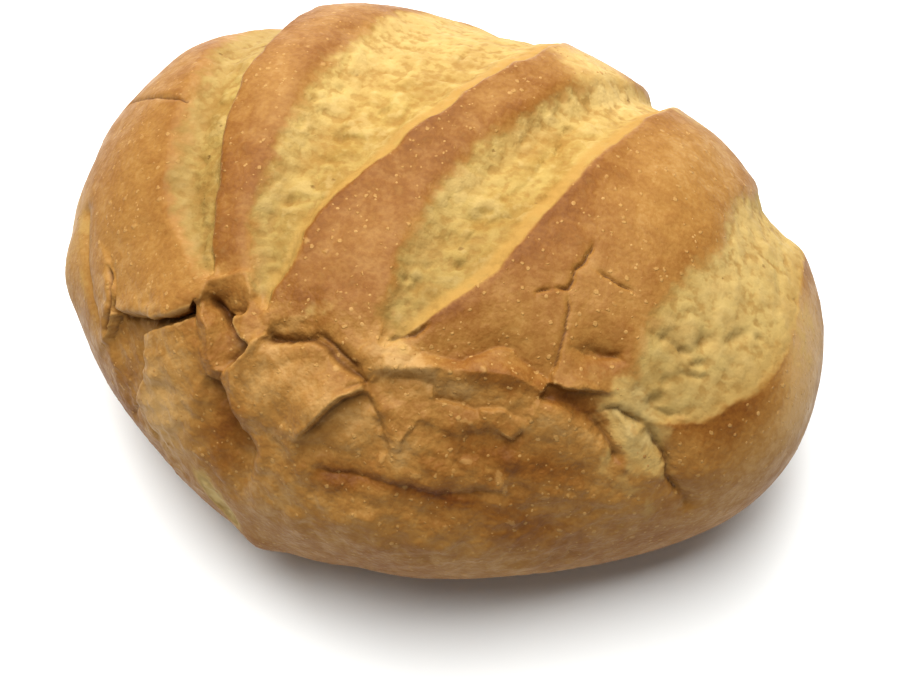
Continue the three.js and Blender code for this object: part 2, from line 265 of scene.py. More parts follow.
slashes = {  # millimetres, and half widths across a slash: -1 is its left side and 1 its torn edge
    "fall": (-1.35, 0.95),  # half widths: where the crust starts to roll in, and over how much
    "floor": (-0.4, 1.2, 0.22),  # half widths: where the floor starts to rise, over how much, its share
    "climbEnd": 1.05,  # half widths: where the torn wall has reached the crust
    "lipStart": (0.4, 0.8),  # past the torn edge, and half of how softly
    "lipReach": 7.0,  # how far the raised crust right of a torn edge takes to level out
    "leftFade": 6.5,  # over which the crumb gives way to crust on the left
    "wallShare": 0.45,  # how smooth the torn wall is, next to its bright strip
    "stripFade": 2.0,
    "flank": (1.15, 5.0),  # where the crust rolls over: half widths to the left, and its reach
    "paintedLightLeftWall": (0.7, 0.45),  # half widths: how far left the slash's own left side lies, and its reach; this side is painted lighter
    "margin": 15.0,  # how far past its width a slash is still felt
    "crumbTips": 2.2,  # how quickly the crumb starts from a slash's ends, and the torn wall
    "wallTips": 2.0,
    "tornFrom": 0.25,  # how open a slash has to be for a torn edge
    # wall: width of the torn wall in half widths, lip: rise of the crust beside it, strip: width of the
    # bright torn strip, edge: how softly the crumb ends there, path: map x, map y, half width, depth
    "paths": {
        "first": {"wall": 0.32, "lip": 1.0, "strip": 2.6, "edge": 1.0, "path": [(-66, 88, 4, 5.4),
            (-67, 66, 10, 5.4), (-67, 48, 11.5, 5.4), (-65, 30, 9, 5.4), (-64, 10, 7, 5.4),
            (-61, -8, 7.2, 5.2), (-58, -20, 7, 5), (-52, -32, 5, 5), (-43, -44, 1, 5)]},
        "second": {"wall": 0.5, "lip": 0.8, "strip": 5.0, "edge": 1.0, "path": [(4, 100, 6, 6.4),
            (-1, 80, 22, 6.4), (-6, 62, 25, 6.4), (-13, 44, 22, 6.2), (-20, 20, 18.5, 5.8),
            (-26, 0, 13.5, 5.4), (-30, -20, 9.5, 5.2), (-30, -34, 6.6, 5.4), (-27, -50, 1, 6)]},
        "third": {"wall": 0.6, "lip": 0.5, "strip": 4.4, "edge": 1.2, "path": [(66, 92, 4, 5.2),
            (60, 76, 5, 5.2), (53, 60, 7, 5), (41, 42, 10, 4.8), (31, 20, 11.5, 4.4), (22, 0, 13, 4.2),
            (15, -20, 12, 4.2), (9, -36, 7.5, 4.6), (5, -51, 1, 5)]},
        "fourth": {"wall": 0.8, "lip": 0.0, "strip": 0.5, "edge": 3.4, "path": [(112, 64, 4, 5),
            (104, 46, 9, 5), (98, 34, 11, 4), (90, 18, 12.5, 2), (87, 0, 13.2, 1), (80, -18, 15, 0.9),
            (74, -32, 12, 1), (70, -42, 6, 1.4), (69, -50, 1, 2)]},
    },
}


def besideSlashes(at):  # the slash, its depth, half width, fade at its ends, and two measures across it
    for slash in slashes["paths"].values():
        samples = smoothPath(slash["path"])
        near = alongPath(samples, at, 1.4 * samples[:, 2].max() + slashes["margin"])
        width, depth = near["extra"].T
        width = np.maximum(width, 1)
        ends = np.sqrt(np.maximum(np.sin(math.pi * near["place"] / near["length"]), 0))
        across = near["signed"] / width
        yield slash, depth, width, ends, across, (across - 1) * width


def slashRelief(at):
    relief = np.zeros(len(at))
    openness = np.zeros(len(at))  # 1 in the open slash, fading softly to its left and crisply to its right
    ridge = np.zeros(len(at))  # the smooth torn wall on the right of each slash
    beside = np.full(len(at), 99.0)  # how far to the right of the nearest slash's torn edge
    flank = np.zeros(len(at))  # where the crust rolls over into a slash on its right
    paintedLightLeftWall = np.zeros(len(at))  # the slash's own left side, painted lighter on the crumb
    floorFrom, floorOver, floorRise = slashes["floor"]
    lipFrom, lipOver = slashes["lipStart"]
    flankFrom, flankOver = slashes["flank"]
    slopeFrom, slopeOver = slashes["paintedLightLeftWall"]
    share = slashes["wallShare"]
    for slash, depth, width, ends, across, beyond in besideSlashes(at):
        wall = slash["wall"]
        fall = rampUp(across, *slashes["fall"])
        floor = 1 - floorRise * rampUp(across, floorFrom, floorOver)
        climb = smoothStep((slashes["climbEnd"] - across) / wall)
        lip = slash["lip"] * np.exp(-np.maximum(beyond, 0) / slashes["lipReach"])
        lip *= softEdge(beyond - lipFrom, lipOver)
        relief += ends * (lip - depth * fall * floor * climb)
        inside = np.minimum((across + 1) * width / slashes["leftFade"] + 0.5, -beyond / slash["edge"] + 0.3)
        openness = np.maximum(openness, np.clip(inside, 0, 1) * smoothStep(ends * slashes["crumbTips"]))
        onWall = share * smoothStep((across - 1 + 0.7 * wall) / (0.6 * wall))
        onWall += (1 - share) * smoothStep((beyond + slash["strip"]) / slashes["stripFade"])
        onWall *= smoothStep(0.5 - beyond)
        ridge = np.maximum(ridge, onWall * smoothStep(ends * slashes["wallTips"]))
        tornHere = (beyond > -1) & (ends > slashes["tornFrom"])
        beside = np.where(tornHere, np.minimum(beside, beyond), beside)
        flank = np.maximum(flank, ends * np.exp(-(((across + flankFrom) * width / flankOver) ** 2)))
        paintedLightLeftWall = np.maximum(paintedLightLeftWall, ends * np.exp(-(((across + slopeFrom) / slopeOver) ** 2)))
    return relief, openness, ridge, beside, flank, paintedLightLeftWall


crumple = {  # crust plates on the crushed side
    "sharpness": 0.25,  # how crisply plates meet, in millimetres
    "margin": 1.0,  # how far round the plates the plain crust starts to win
    "gain": 1.2,
    "reach": 4.0,
    "deepest": 2.0,  # past this far inside, no plate wins by lying deeper
    "softness": 1.1,  # in place of the sharpness, in each softened area
    "softened": [  # map x, map y, reach along x and y
        (26, -52, 20, 4.5), (61, -55, 16, 7), (9, -64, 5, 9), (-50, -90, 30, 20),
        (22, -82, 28, 5), (33, -64, 14, 4.5), (-18, -80, 11, 5), (-33, -76, 4, 8),
    ],
    "plates": {  # corners: map x, map y, height above the plain loaf
        "endPlate": [(-89, -33.5, 0), (-82, -40.5, 0.9), (-77, -47.5, 1.8), (-78.5, -52.5, 2.2),
            (-77, -55, 2.2), (-84, -61, 1.4), (-93.5, -65.5, 0.3), (-107.5, -59, 0), (-109, -48, 0),
            (-100, -38.5, 0)],
        "lobe": [(-81, -35.5, 0), (-76.5, -47.5, 0.6), (-74.5, -51.5, 1.4), (-63.5, -52, 2.4),
            (-58.5, -53, 3), (-49, -50.5, 3), (-45.5, -50, 2.6), (-43, -47, 2.2), (-43, -43, 0.8),
            (-49, -36, 0), (-66, -33, 0)],
        "hollow": [(-76.5, -52, -1.8), (-70.5, -55, -2.2), (-60, -54.5, -2.4), (-52.5, -53.5, -2.4),
            (-46, -50, -2.4), (-47, -54, -1.2), (-52.5, -56, -1), (-58, -58, -1), (-63.5, -59.5, -1.6),
            (-63, -62.5, -2.8), (-65, -70.5, -2.8), (-72.5, -78.5, -2), (-74.5, -83.5, -0.6),
            (-87, -80.5, 0), (-81.5, -70, -0.3), (-82.5, -62.5, -1)],
        "leftPlate": [(-66, -60, 1), (-57.5, -57.5, 1.2), (-50, -55, 1.3), (-47.5, -52.5, 0.8),
            (-43, -57.5, 0.6), (-42, -61.5, 0.4), (-40.5, -65, 0.2), (-40, -68, -0.4),
            (-43.5, -74.5, 0.2), (-45.5, -83.5, 0.4), (-43.5, -93, 0), (-45, -102.5, 0), (-54.5, -99, 0),
            (-63, -90, 0), (-72, -83, 0.3), (-72, -78.5, 1.2), (-65.5, -71, 1.5), (-62.5, -63, 1.4)],
        "dent": [(-40, -68, -1), (-37.5, -69, -2.8), (-34.5, -69.5, -4), (-30.5, -74.5, -4.6),
            (-27, -79.5, -4.8), (-24, -84.5, -4.4), (-26, -92, -3.6), (-29, -98, -1.4), (-36, -103, -0.4),
            (-45.5, -105, 0), (-43.5, -93, 0), (-45.5, -83.5, 0.4), (-43.5, -74.5, 0.2)],
        "tongueLeft": [(-45.5, -50.5, 1), (-43.5, -49.5, 1.4), (-42, -53, 1.9), (-39.5, -57, 2),
            (-38.5, -61.5, 1.8), (-36, -65, 1.6), (-38, -66.5, 1), (-40, -65, 0.4), (-42, -61.5, 0.6),
            (-43, -57.5, 0.7)],
        "tongueRight": [(-43.5, -49.5, 1.4), (-41, -50, -1.4), (-36.5, -52, -3), (-32, -55.5, -3.2),
            (-29.5, -58.5, -2.4), (-33, -62, -1), (-36, -64.5, 1), (-38.5, -61.5, 1.8), (-39.5, -57, 2),
            (-42, -53, 1.9)],
        "wedge": [(-43, -45, 1.2), (-34, -42, 1), (-31.5, -45.5, 1.4), (-30.5, -49.5, 0.6),
            (-32, -51, -1.2), (-37.5, -50.5, -2), (-41, -49, -1.4), (-43, -47.5, 0)],
        "bandTip": [(-30, -47, 0.2), (-27.5, -47, 0.4), (-23, -53.5, 0.6), (-24, -55.5, 1.2),
            (-26.5, -55.5, 2.2), (-27.5, -57, 2.2), (-31.5, -57, 2.4), (-34, -54, 2.4),
            (-31, -51.5, 1.8)],
        "bandEndLeft": [(-27.5, -47, 0.4), (-23.5, -41.5, 0), (-15.5, -40.5, 0), (-12.5, -53.5, -1.3),
            (-18, -55, -1.8), (-23.5, -56, -1.5), (-24, -52.5, 0.2)],
        "bandEndRight": [(-15.5, -40.5, 0), (-6, -43, 0), (4.5, -48, 0), (6, -51.5, 0.7), (6, -55, 1.2),
            (4.5, -58.5, 0.8), (-3, -55.5, 0.2), (-9.5, -53.5, -0.4), (-13, -53, -1.6)],
        "litPlate": [(-25, -54.5, 3), (-23.5, -55, 2.6), (-22.5, -56, 1.4), (-12, -54.5, 1.2),
            (-7, -56.5, 1.2), (-0.5, -59, 1.8), (3.5, -62, 2.2), (-1.5, -64.5, 3.4), (-5.5, -69.5, 3.6),
            (-9.5, -74.5, 2.8), (-14.5, -78, 1.2), (-19, -77.5, 0.4), (-27.5, -79, 0.8),
            (-31.5, -73.5, 1.4), (-33.5, -69, 2), (-33.5, -66, 2.4), (-27, -59.5, 2.8)],
        "underPlate": [(-1, -65, -0.4), (3.5, -62, -0.6), (6.5, -65.5, -1.4), (10, -69, -1.6),
            (12.5, -73.5, -1), (13, -79.5, -0.8), (5.5, -82.5, -0.2), (-1, -82.5, 0), (-7, -80.5, 0),
            (-9.5, -75.5, 0.3), (-5.5, -71, 0)],
        "crossRidge": [(4, -61, -0.4), (8.5, -57.5, -0.3), (10.5, -60.5, 0), (13.5, -64, 0.6),
            (16, -70, 1.6), (15.5, -73, 0.8), (11, -69, 0.4), (7.5, -65.5, 0.8)],
        "crossFacet": [(8.5, -57.5, -0.2), (19.5, -56, -0.4), (20, -59.5, 0.4), (18.5, -65, 1),
            (16, -70, 1.6), (13.5, -64, 0.4), (10.5, -60.5, -0.4)],
        "ridgeTop": [(5.5, -52.5, 1.2), (10.5, -49.5, 0.4), (19, -50, -0.4), (25, -48.5, -0.6),
            (27, -46.5, -0.8), (31.5, -43.5, -1), (35.5, -42, -1.2), (39, -44, -1.2), (42, -44.5, -1),
            (46.5, -45, -0.4), (45.5, -48.5, 1.4), (40.5, -48, 2.4), (37.5, -48, 2.8), (28, -50.5, 2.8),
            (18, -52.5, 2.6), (8, -55.5, 2)],
        "ridgeFront": [(8, -55.5, 2), (18, -52.5, 2.6), (28, -50.5, 2.8), (37.5, -48, 2.8),
            (40.5, -48, 2.4), (45.5, -48.5, 1.4), (44.5, -52.5, 0.6), (44, -57, 0.6), (39, -56.5, -0.2),
            (32.5, -58, -0.8), (26.5, -59, -1.2), (21, -59.5, -1.4), (19.5, -56.5, -1.2), (14, -56, -0.8),
            (9, -57, -0.4)],
        "flapLeft": [(21, -59.5, 0.6), (26.5, -59, 0.2), (32.5, -58.5, -0.2), (34, -62.5, 1.2),
            (30, -65.5, 1), (26, -65.5, 0.7), (21, -65, 0.6), (18.5, -64, 1)],
        "flapRight": [(32.5, -58, 1), (39, -56.5, 1), (44, -57, 1.2), (44.5, -60, 1.5), (43, -62.5, 1.6),
            (38.5, -61.5, 1.5), (34, -62.5, 1.3)],
        "flapShade": [(16, -70.5, 0.4), (18.5, -64.5, 0.4), (21, -65, -0.1), (26, -66, -0.4),
            (30, -66, -0.6), (34, -63, -0.7), (39, -62, -0.8), (43.5, -62.5, -0.8), (44.5, -60, -0.8),
            (44.5, -65.5, -0.4), (39, -68, 0), (32.5, -72, 0.2), (23.5, -73, 0), (18.5, -73.5, 0)],
        "rightSlope": [(46, -51, 1.8), (52.5, -50.5, 1.5), (59, -51.5, 1.0), (63, -54.5, 0.6),
            (68.5, -58.5, 0.3), (71, -63.5, 0), (64, -67, 0), (54, -67, 0), (46, -67.5, 0),
            (45.5, -59.5, 1), (45.5, -54.5, 1.8)],
        "rightHollow": [(47, -46, -1), (50.5, -46.5, -1), (54.5, -45, -1), (58.5, -44, -0.6),
            (62.5, -44, 0), (62, -47.5, -1), (60.5, -50.5, -2), (59, -51, -2.4), (52, -50, -2.6),
            (46.5, -50, -2.4)],
        "valleyShade": [(61, -49.5, -2), (64, -46, -0.8), (69, -50, -0.2), (72, -56, -0.2),
            (69, -56.5, -0.8), (65, -53, -1.6)],
        "valleyPale": [(64, -45.5, -0.8), (73, -46.5, -0.6), (81, -50.5, -0.4), (84, -56, 0),
            (76, -60, 0), (72, -56.5, 0.2), (69, -50, 0.6)],
        "sideUpper": [(44.5, -26, 0), (49, -25, 0), (58, -27.5, 0), (59.5, -32, -0.4), (57.5, -35, -1.8),
            (52, -36.5, -2), (49, -36, -0.8), (46, -33, 0)],
        "sideLower": [(49, -36, -0.8), (52, -36.5, -1.4), (57.5, -35, -1.2), (61, -35.5, 0),
            (62.5, -40, 0), (58.5, -43.5, 1), (54.5, -45, 2), (50, -46, 2), (47, -45.5, 0.8),
            (46.5, -40, 0.2), (46, -33.5, 0.2)],
        "ridgeAbove": [(10.5, -49, 0), (17, -42, 0), (23.5, -34.5, 0), (33, -28.5, 0), (41.5, -27, 0),
            (45.5, -30.5, 0), (46.5, -40, -0.4), (46.5, -45, -1.2), (42, -44.5, -1.6), (39, -43.5, -1.8),
            (35.5, -42, -1.8), (31.5, -43, -1.6), (27, -46.5, -1.3), (25, -48.5, -1), (19, -49.5, -0.6)],
        "bellyTop": [(0, -80, 0.2), (9, -77.5, 0.2), (16, -73.5, 0.2), (23.5, -73, 0), (32.5, -72, 0),
            (39, -68, 0), (45.5, -66, 0), (46, -71.5, 0.3), (44.5, -75.5, 0.6), (38, -79.3, 1.0),
            (29.5, -81.5, 1.3), (22.5, -82, 1.3), (17, -81.6, 1.2), (9, -81.9, 0.9), (2, -83, 0.3)],
    },
}


def insideBy(corners, at):  # how far inside a closed outline, below 0 outside it
    best = np.full(len(at), np.inf)
    inside = np.zeros(len(at), bool)
    x, y = at.T
    for (x0, y0), (x1, y1) in zip(corners, np.roll(corners, -1, axis=0)):
        run = np.array([x1 - x0, y1 - y0])
        share = np.clip((at - (x0, y0)) @ run / (run @ run), 0, 1)
        away = at - (x0, y0) - share[:, None] * run
        best = np.minimum(best, np.hypot(away[:, 0], away[:, 1]))
        if y0 != y1:
            inside ^= ((y0 > y) != (y1 > y)) & (x < (x1 - x0) * (y - y0) / (y1 - y0) + x0)
    return np.where(inside, best, -best)


def plateHeight(corners, at):  # mean value coordinates: smooth inside, straight along the edges
    away = corners[None, :, :2] - at[:, None, :]
    reach = np.hypot(away[..., 0], away[..., 1]) + 1e-6
    ahead = np.roll(away, -1, axis=1)
    aheadReach = np.roll(reach, -1, axis=1)
    cross = away[..., 0] * ahead[..., 1] - away[..., 1] * ahead[..., 0]
    dot = (away * ahead).sum(-1)
    halfTan = cross / np.maximum(reach * aheadReach + dot, 1e-4)
    weight = (halfTan + np.roll(halfTan, 1, axis=1)) / reach
    total = weight.sum(1)
    total = np.where(np.abs(total) < 1e-6, 1e-6, total)
    height = (weight * corners[None, :, 2]).sum(1) / total
    return np.clip(height, corners[:, 2].min(), corners[:, 2].max())


def nearBox(at, corners, margin):  # which places lie in the box round the corners, widened by the margin
    low, high = corners[:, :2].min(0) - margin, corners[:, :2].max(0) + margin
    return np.all((at > low) & (at < high), axis=1)


def blendPlates(at, sharpness):  # each point takes the height of the plate that it lies deepest in
    total = np.zeros(len(at))
    weight = np.full(len(at), math.exp(-crumple["margin"] / sharpness))
    for corners in crumple["plates"].values():
        corners = np.array(corners, float)
        nearby = nearBox(at, corners, crumple["reach"])
        inside = insideBy(corners[:, :2], at[nearby])
        share = np.exp(np.minimum(inside, crumple["deepest"]) / sharpness)
        total[nearby] += share * plateHeight(corners, at[nearby])
        weight[nearby] += share
    return crumple["gain"] * total / weight


def plateRelief(at):
    relief = blendPlates(at, crumple["sharpness"])
    for x, y, rx, ry in crumple["softened"]:
        blend = np.exp(-(((at[:, 0] - x) / rx) ** 4) - ((at[:, 1] - y) / ry) ** 4)
        chosen = np.flatnonzero(blend > 0.02)
        relief[chosen] += blend[chosen] * (blendPlates(at[chosen], crumple["softness"]) - relief[chosen])
    return relief


creases = {
    "fade": 4.0,  # over which a crease deepens from each of its ends
    # how far the crust on the left laps over the crease, and from how far away
    "laps": {"lobeFold": (1.9, 9)},
    "noLap": (0, 1),
    "lapEdge": 0.6,  # how softly the lap starts at the crease
    "steepness": 1.3,  # 1 is a sharp groove and 2 a round one
    "fullShade": 1.8,  # depth over width from which a crease's painted shade is full
    "paths": {  # depth, width, path
        "lobeFold": (1.1, 1.1, [(-79.5, -53.5), (-74, -55), (-66.5, -54.5), (-58.5, -54), (-52.5, -53),
            (-49, -51.5), (-44, -48)]),
        "endPlateEdge": (1.7, 0.8, [(-82, -40), (-79, -45), (-78, -50), (-79, -54), (-84, -61)]),
        "branch": (1.0, 1.0, [(-63.5, -58), (-64, -64), (-66, -70), (-72.5, -79), (-84, -87)]),
        "pinch": (2.4, 1.2, [(-44, -47.5), (-41.5, -49), (-39, -51), (-36, -53.5), (-33, -56)]),
        "plateTopCrease": (1.8, 1.1, [(-26, -55), (-23.5, -56), (-17.5, -55), (-12.5, -54), (-9.5, -54.5),
            (-4.5, -57), (2, -59), (4, -60.5)]),
        "plateTopSecond": (1.3, 0.7, [(-13, -52), (-8.5, -53.2), (-3, -55.4), (3, -58)]),
        "crossEdge": (0.9, 0.8, [(6.5, -56), (4.5, -58), (3, -60), (0, -62), (-2.5, -64)]),
        "crossDown": (1.2, 1.2, [(3.5, -60), (5.5, -64), (9, -67), (11.5, -71)]),
        "bellyFold": (1.7, 2.2, [(-6, -83), (0, -83.5), (4, -83), (10, -82.4), (17, -82.2), (24, -82.4),
            (30, -82), (36, -80.6), (42, -78.2), (46, -75.4)]),
        "crackMain": (1.3, 0.4, [(46, -9), (46, -11), (45, -15), (44.5, -17), (43.5, -19), (43.5, -23.5),
            (39.5, -25.5)]),
        "crackStep": (1.0, 0.35, [(39, -23.5), (39.5, -25.5), (36.5, -27.5), (37, -30)]),
        "crackRight": (1.0, 0.35, [(47, -17), (51.5, -18), (54.5, -18.5), (59, -18.5)]),
        "crackLong": (0.9, 0.5, [(43.5, -23.5), (45.5, -28.5), (46, -33), (46.5, -39), (46.5, -45)]),
        "shadeLine": (1.0, 1.0, [(50.5, -35), (55.5, -34.5), (59, -34), (62, -34)]),
        "rightFoldTail": (1.3, 1.0, [(57, -50), (61, -50.5), (65.5, -53.5), (69, -56), (72, -57.5)]),
        "endFold": (2.0, 2.2, [(72, -44), (74.5, -46.8), (78, -48.6), (81, -49.8), (83.2, -52),
            (85, -54.5), (89, -56.4), (95, -57.4), (101, -60)]),
        "endLine": (0.9, 0.55, [(74, -46.6), (78, -48.9), (81, -50.2), (83, -52.4), (84.6, -54.8),
            (88.5, -56.8), (94, -57.8)]),
        "firstCrack": (0.9, 0.5, [(-103, 14), (-99.5, 16), (-85.5, 11), (-77.5, 9), (-71.5, 8),
            (-71, 11.5)]),
        "leftEndFold": (1.7, 2.4, [(-99, -20), (-97.5, -31), (-95, -42), (-90, -52), (-86, -60)]),
        "valleyFold": (1.1, 0.8, [(60.5, -49.5), (61.5, -46.5), (64, -44.8), (67.5, -45.5), (71.5, -46),
            (74, -46)]),
        "scoreEnd": (1.2, 0.8, [(4, -50.5), (8.5, -48), (11.5, -46.5), (13.5, -44), (14.5, -41)]),
        "stripFoldUpper": (0.9, 1.6, [(24, -3), (26.5, 3.5), (28.5, 9.5), (30.5, 18.5), (32, 29.5)]),
        "stripFoldLower": (0.9, 1.6, [(14.5, -23.5), (16.5, -19.5), (18.5, -14), (22, -10.5),
            (26.5, -8.5), (28.5, -5), (32.5, 0.5)]),
        "crumbCrack": (0.9, 0.8, [(-4.5, 52.5), (-5, 47.5), (-5.5, 44)]),
        "fourthFoldA": (1.0, 1.2, [(72.5, -31), (75.5, -30), (78.5, -29.5), (80.5, -27.5)]),
        "fourthFoldB": (1.0, 1.2, [(63.5, -25), (68.5, -25.5), (72, -26), (75, -28.5)]),
        "fourthFoldC": (1.0, 1.2, [(67.5, -40.5), (72, -41), (76, -41), (79.5, -39)]),
    },
}


def creaseRelief(at):
    relief = np.zeros(len(at))
    shift = np.zeros((len(at), 2))
    shade = np.zeros(len(at))
    for name, (depth, width, path) in creases["paths"].items():
        lap, reach = creases["laps"].get(name, creases["noLap"])
        samples = np.array(path, float)
        nearby = nearBox(at, samples, 4 * max(reach, width))
        near = alongPath(samples, at[nearby])
        t = near["signed"]
        fade = smoothStep(near["place"] / creases["fade"])
        fade *= smoothStep((near["length"] - near["place"]) / creases["fade"])
        groove = np.exp(-((np.abs(t) / width) ** creases["steepness"]))
        relief[nearby] -= fade * depth * groove
        away = near["offset"] / np.maximum(np.abs(t), 0.05)[:, None]
        pull = fade * lap * softEdge(t, creases["lapEdge"]) * np.exp(-np.maximum(t, 0) / reach)
        shift[nearby] -= away * pull[:, None]
        # painted shade along each crease, darker for deep and narrow ones
        darkness = min(1, depth / (creases["fullShade"] * width))
        shade[nearby] = np.maximum(shade[nearby], fade * groove * darkness)
    return relief, shift, shade


pits = [  # torn holes in the open slashes: map x, map y, half length, half width, turn in degrees, depth
    (12.6, -19.7, 2.7, 2.2, 82, 1.6), (17.5, -10.8, 4.2, 1.8, 59, 1.4), (16.4, -26.0, 1.5, 1.0, 77, 1.2),
    (9.3, -28.8, 1.3, 0.8, 44, 1.0), (4.6, -33.8, 0.9, 1.3, 105, 1.0), (7.3, -34.8, 2.7, 1.0, 64, 0.8),
    (32.5, 28.4, 1.6, 1.4, 80, 1.4), (31.5, 18.1, 3.3, 0.8, 84, 1.0), (-26.4, 4.5, 2.4, 1.6, 72, 1.4),
    (-32.3, 21.3, 1.6, 0.9, 83, 1.0), (-30.9, 29.0, 0.8, 0.8, 61, 1.2), (-36.5, 13.1, 0.9, 1.0, 36, 0.9),
    (-17.7, 16.4, 1.8, 1.3, 56, 1.2), (-32.2, -19.4, 1.6, 1.0, 90, 1.2),
    (-27.5, -10.0, 5.2, 3.9, 69, 0.6), (-14.8, 26.9, 1.9, 0.9, 96, 0.9), (-36.8, 4.0, 1.5, 0.8, 88, 0.7),
    (76.4, -21.0, 2.9, 1.7, 46, 1.3), (83.7, -16.3, 4.1, 1.3, 50, 1.2), (89.8, -13.4, 0.9, 2.2, 86, 1.2),
    (77.1, -26.7, 2.3, 0.8, 36, 1.0), (71.6, -38.5, 2.1, 1.4, 50, 1.3), (72.8, -25.7, 0.9, 1.6, 108, 1.0),
    (71.6, -33.8, 1.5, 1.0, 86, 0.8), (-41.5, -108.0, 8.0, 2.8, -68, 0.8),
    (-60.0, -19.8, 0.8, 1.7, 19, 0.6), (-60.6, -9.5, 0.8, 1.4, 5, 0.6), (-69.4, 3.2, 0.8, 1.7, -2, 0.8),
]


def spotLevel(at, x, y, halfLength, halfWidth, turn):  # 1 in the middle of a turned oval, fading outside it
    c, s = math.cos(math.radians(turn)), math.sin(math.radians(turn))
    along = ((at[:, 0] - x) * c + (at[:, 1] - y) * s) / halfLength
    aside = ((at[:, 1] - y) * c - (at[:, 0] - x) * s) / halfWidth
    return np.exp(-((along**2 + aside**2) ** 1.5))


def patchSum(at, patches):  # soft round patches added up: map x, map y, reach along x and y, strength
    return sum(strength * np.exp(-(((at[:, 0] - x) / rx) ** 2) - ((at[:, 1] - y) / ry) ** 2)
               for x, y, rx, ry, strength in patches)


def pitRelief(at):
    return sum(depth * spotLevel(at, *spot) for *spot, depth in pits)


swells = [  # map x, map y, reach along x and y, rise
    (-18, -47, 6, 4, 0.4), (-8, -46, 5, 4, 0.8), (0, -78, 8, 4, -1.0), (20, -88, 26, 4, -0.5),
    (90, -49, 9, 6, 1.3), (69.5, -57.5, 2.6, 2.6, -0.7), (72, -68, 8, 5, 0.9), (84, -66, 6, 5, 0.8),
    (20, -98, 50, 13, 2.0), (102, -30, 16, 22, 1.8), (-48, 30, 9, 45, 1.6), (62, 30, 12, 45, 1.4),
    (-112, -40, 9, 11, 2.4), (-117, -1, 8, 9, -2.0), (-88, 36, 12, 14, 2.0), (76, 52, 12, 12, 2.0),
    (-31, -124, 9, 8, 2.2), (12, -130, 14, 9, -1.0),
]


def lumpRelief(points):
    return sum(h * np.sin(points @ np.array([kx, ky, kz]) + phase)
               for kx, ky, kz, phase, h in loafForm["lumps"])


fineCrust = {  # millimetres
    "crumpled": {"front": (-44, 8), "below": (-118, 26), "ends": (98, 22)},  # borders on the map, fades
    "facets": [(7.0, 0.75, 3), (3.6, 0.46, 7), (1.9, 0.22, 13)],  # small flat faces: size, height, seed
    "facetDrift": {"by": 3, "size": 14, "seeds": (11, 12)},
    "wrinkle": (6.0, 0.24, 31, 3),  # the soft unevenness everywhere: size, height, seed, layers
    "roughening": (2.8, 0.4, 51, 2),  # small lumps on the crumpled side: size, height, seed, layers
    "crumbPillows": [(7.5, 1.2, 21), (3.2, 0.75, 23)],  # creased between them: size, height, seed
    "pillowLevel": 0.3,
    "crumbPits": {"size": 2.2, "depth": 0.35, "seed": 27, "clusters": (9, 29)},
    "calmCrumb": {"right": (55, 20, 0.4), "back": (40, 30, 0.5)},  # from, over how much, by what share
    "wobble": [(9.0, 0.5), (3.2, 0.36), (1.3, 0.22)],  # size and reach of ragged edges on plates and cracks
    "wobbleSeeds": (41, 42),
    "tornWobble": {"bySize": 0.36, "most": 2.0},  # how much more ragged torn edges are, for each size
    "smoothWall": 0.65,  # how much less of the crumb's lumps shows on a torn wall
    "rawSponge": {"from": 0.3, "gain": 0.7},  # how far pale raw crust looks like crumb
    "rawCalm": 0.65,  # and how much of the small facets it loses
    "scuffHeight": 0.3,
}


def fineRelief(at, points, openness, crisp):
    x, y = at.T
    look = fineCrust
    drift = look["facetDrift"]["by"] * np.stack([cloudNoise(points, look["facetDrift"]["size"], seed)
                                                 for seed in look["facetDrift"]["seeds"]])
    (front, frontFade), (below, belowFade), (end, endFade) = look["crumpled"].values()
    crumpled = smoothStep((front - y) / frontFade) * rampUp(y, below, belowFade)
    crumpled *= smoothStep((end - np.abs(x)) / endFade)
    facets = sum(height * facetNoise(x + drift[0], y + drift[1], size, seed)
                 for size, height, seed in look["facets"])
    size, height, seed, layers = look["roughening"]
    facets += height * layeredNoise(points, size, seed, layers)
    size, height, seed, layers = look["wrinkle"]
    wrinkle = height * layeredNoise(points, size, seed, layers)
    rise = sum(height * (np.abs(cloudNoise(points, size, seed)) - look["pillowLevel"])
               for size, height, seed in look["crumbPillows"])
    pitting = look["crumbPits"]
    holes = rampUp(cloudNoise(points, pitting["size"], pitting["seed"]), 0.3, 0.35)
    holes *= pitting["depth"] * smoothStep(cloudNoise(points, *pitting["clusters"]) + 0.5)
    right, rightOver, rightShare = look["calmCrumb"]["right"]
    back, backOver, backShare = look["calmCrumb"]["back"]
    calmer = (1 - rightShare * rampUp(x, right, rightOver)) * (1 - backShare * rampUp(y, back, backOver))
    crumb = calmer * (rise - holes)
    return crisp * crumpled * facets + openness * crumb + wrinkle * (1 - openness), crumb


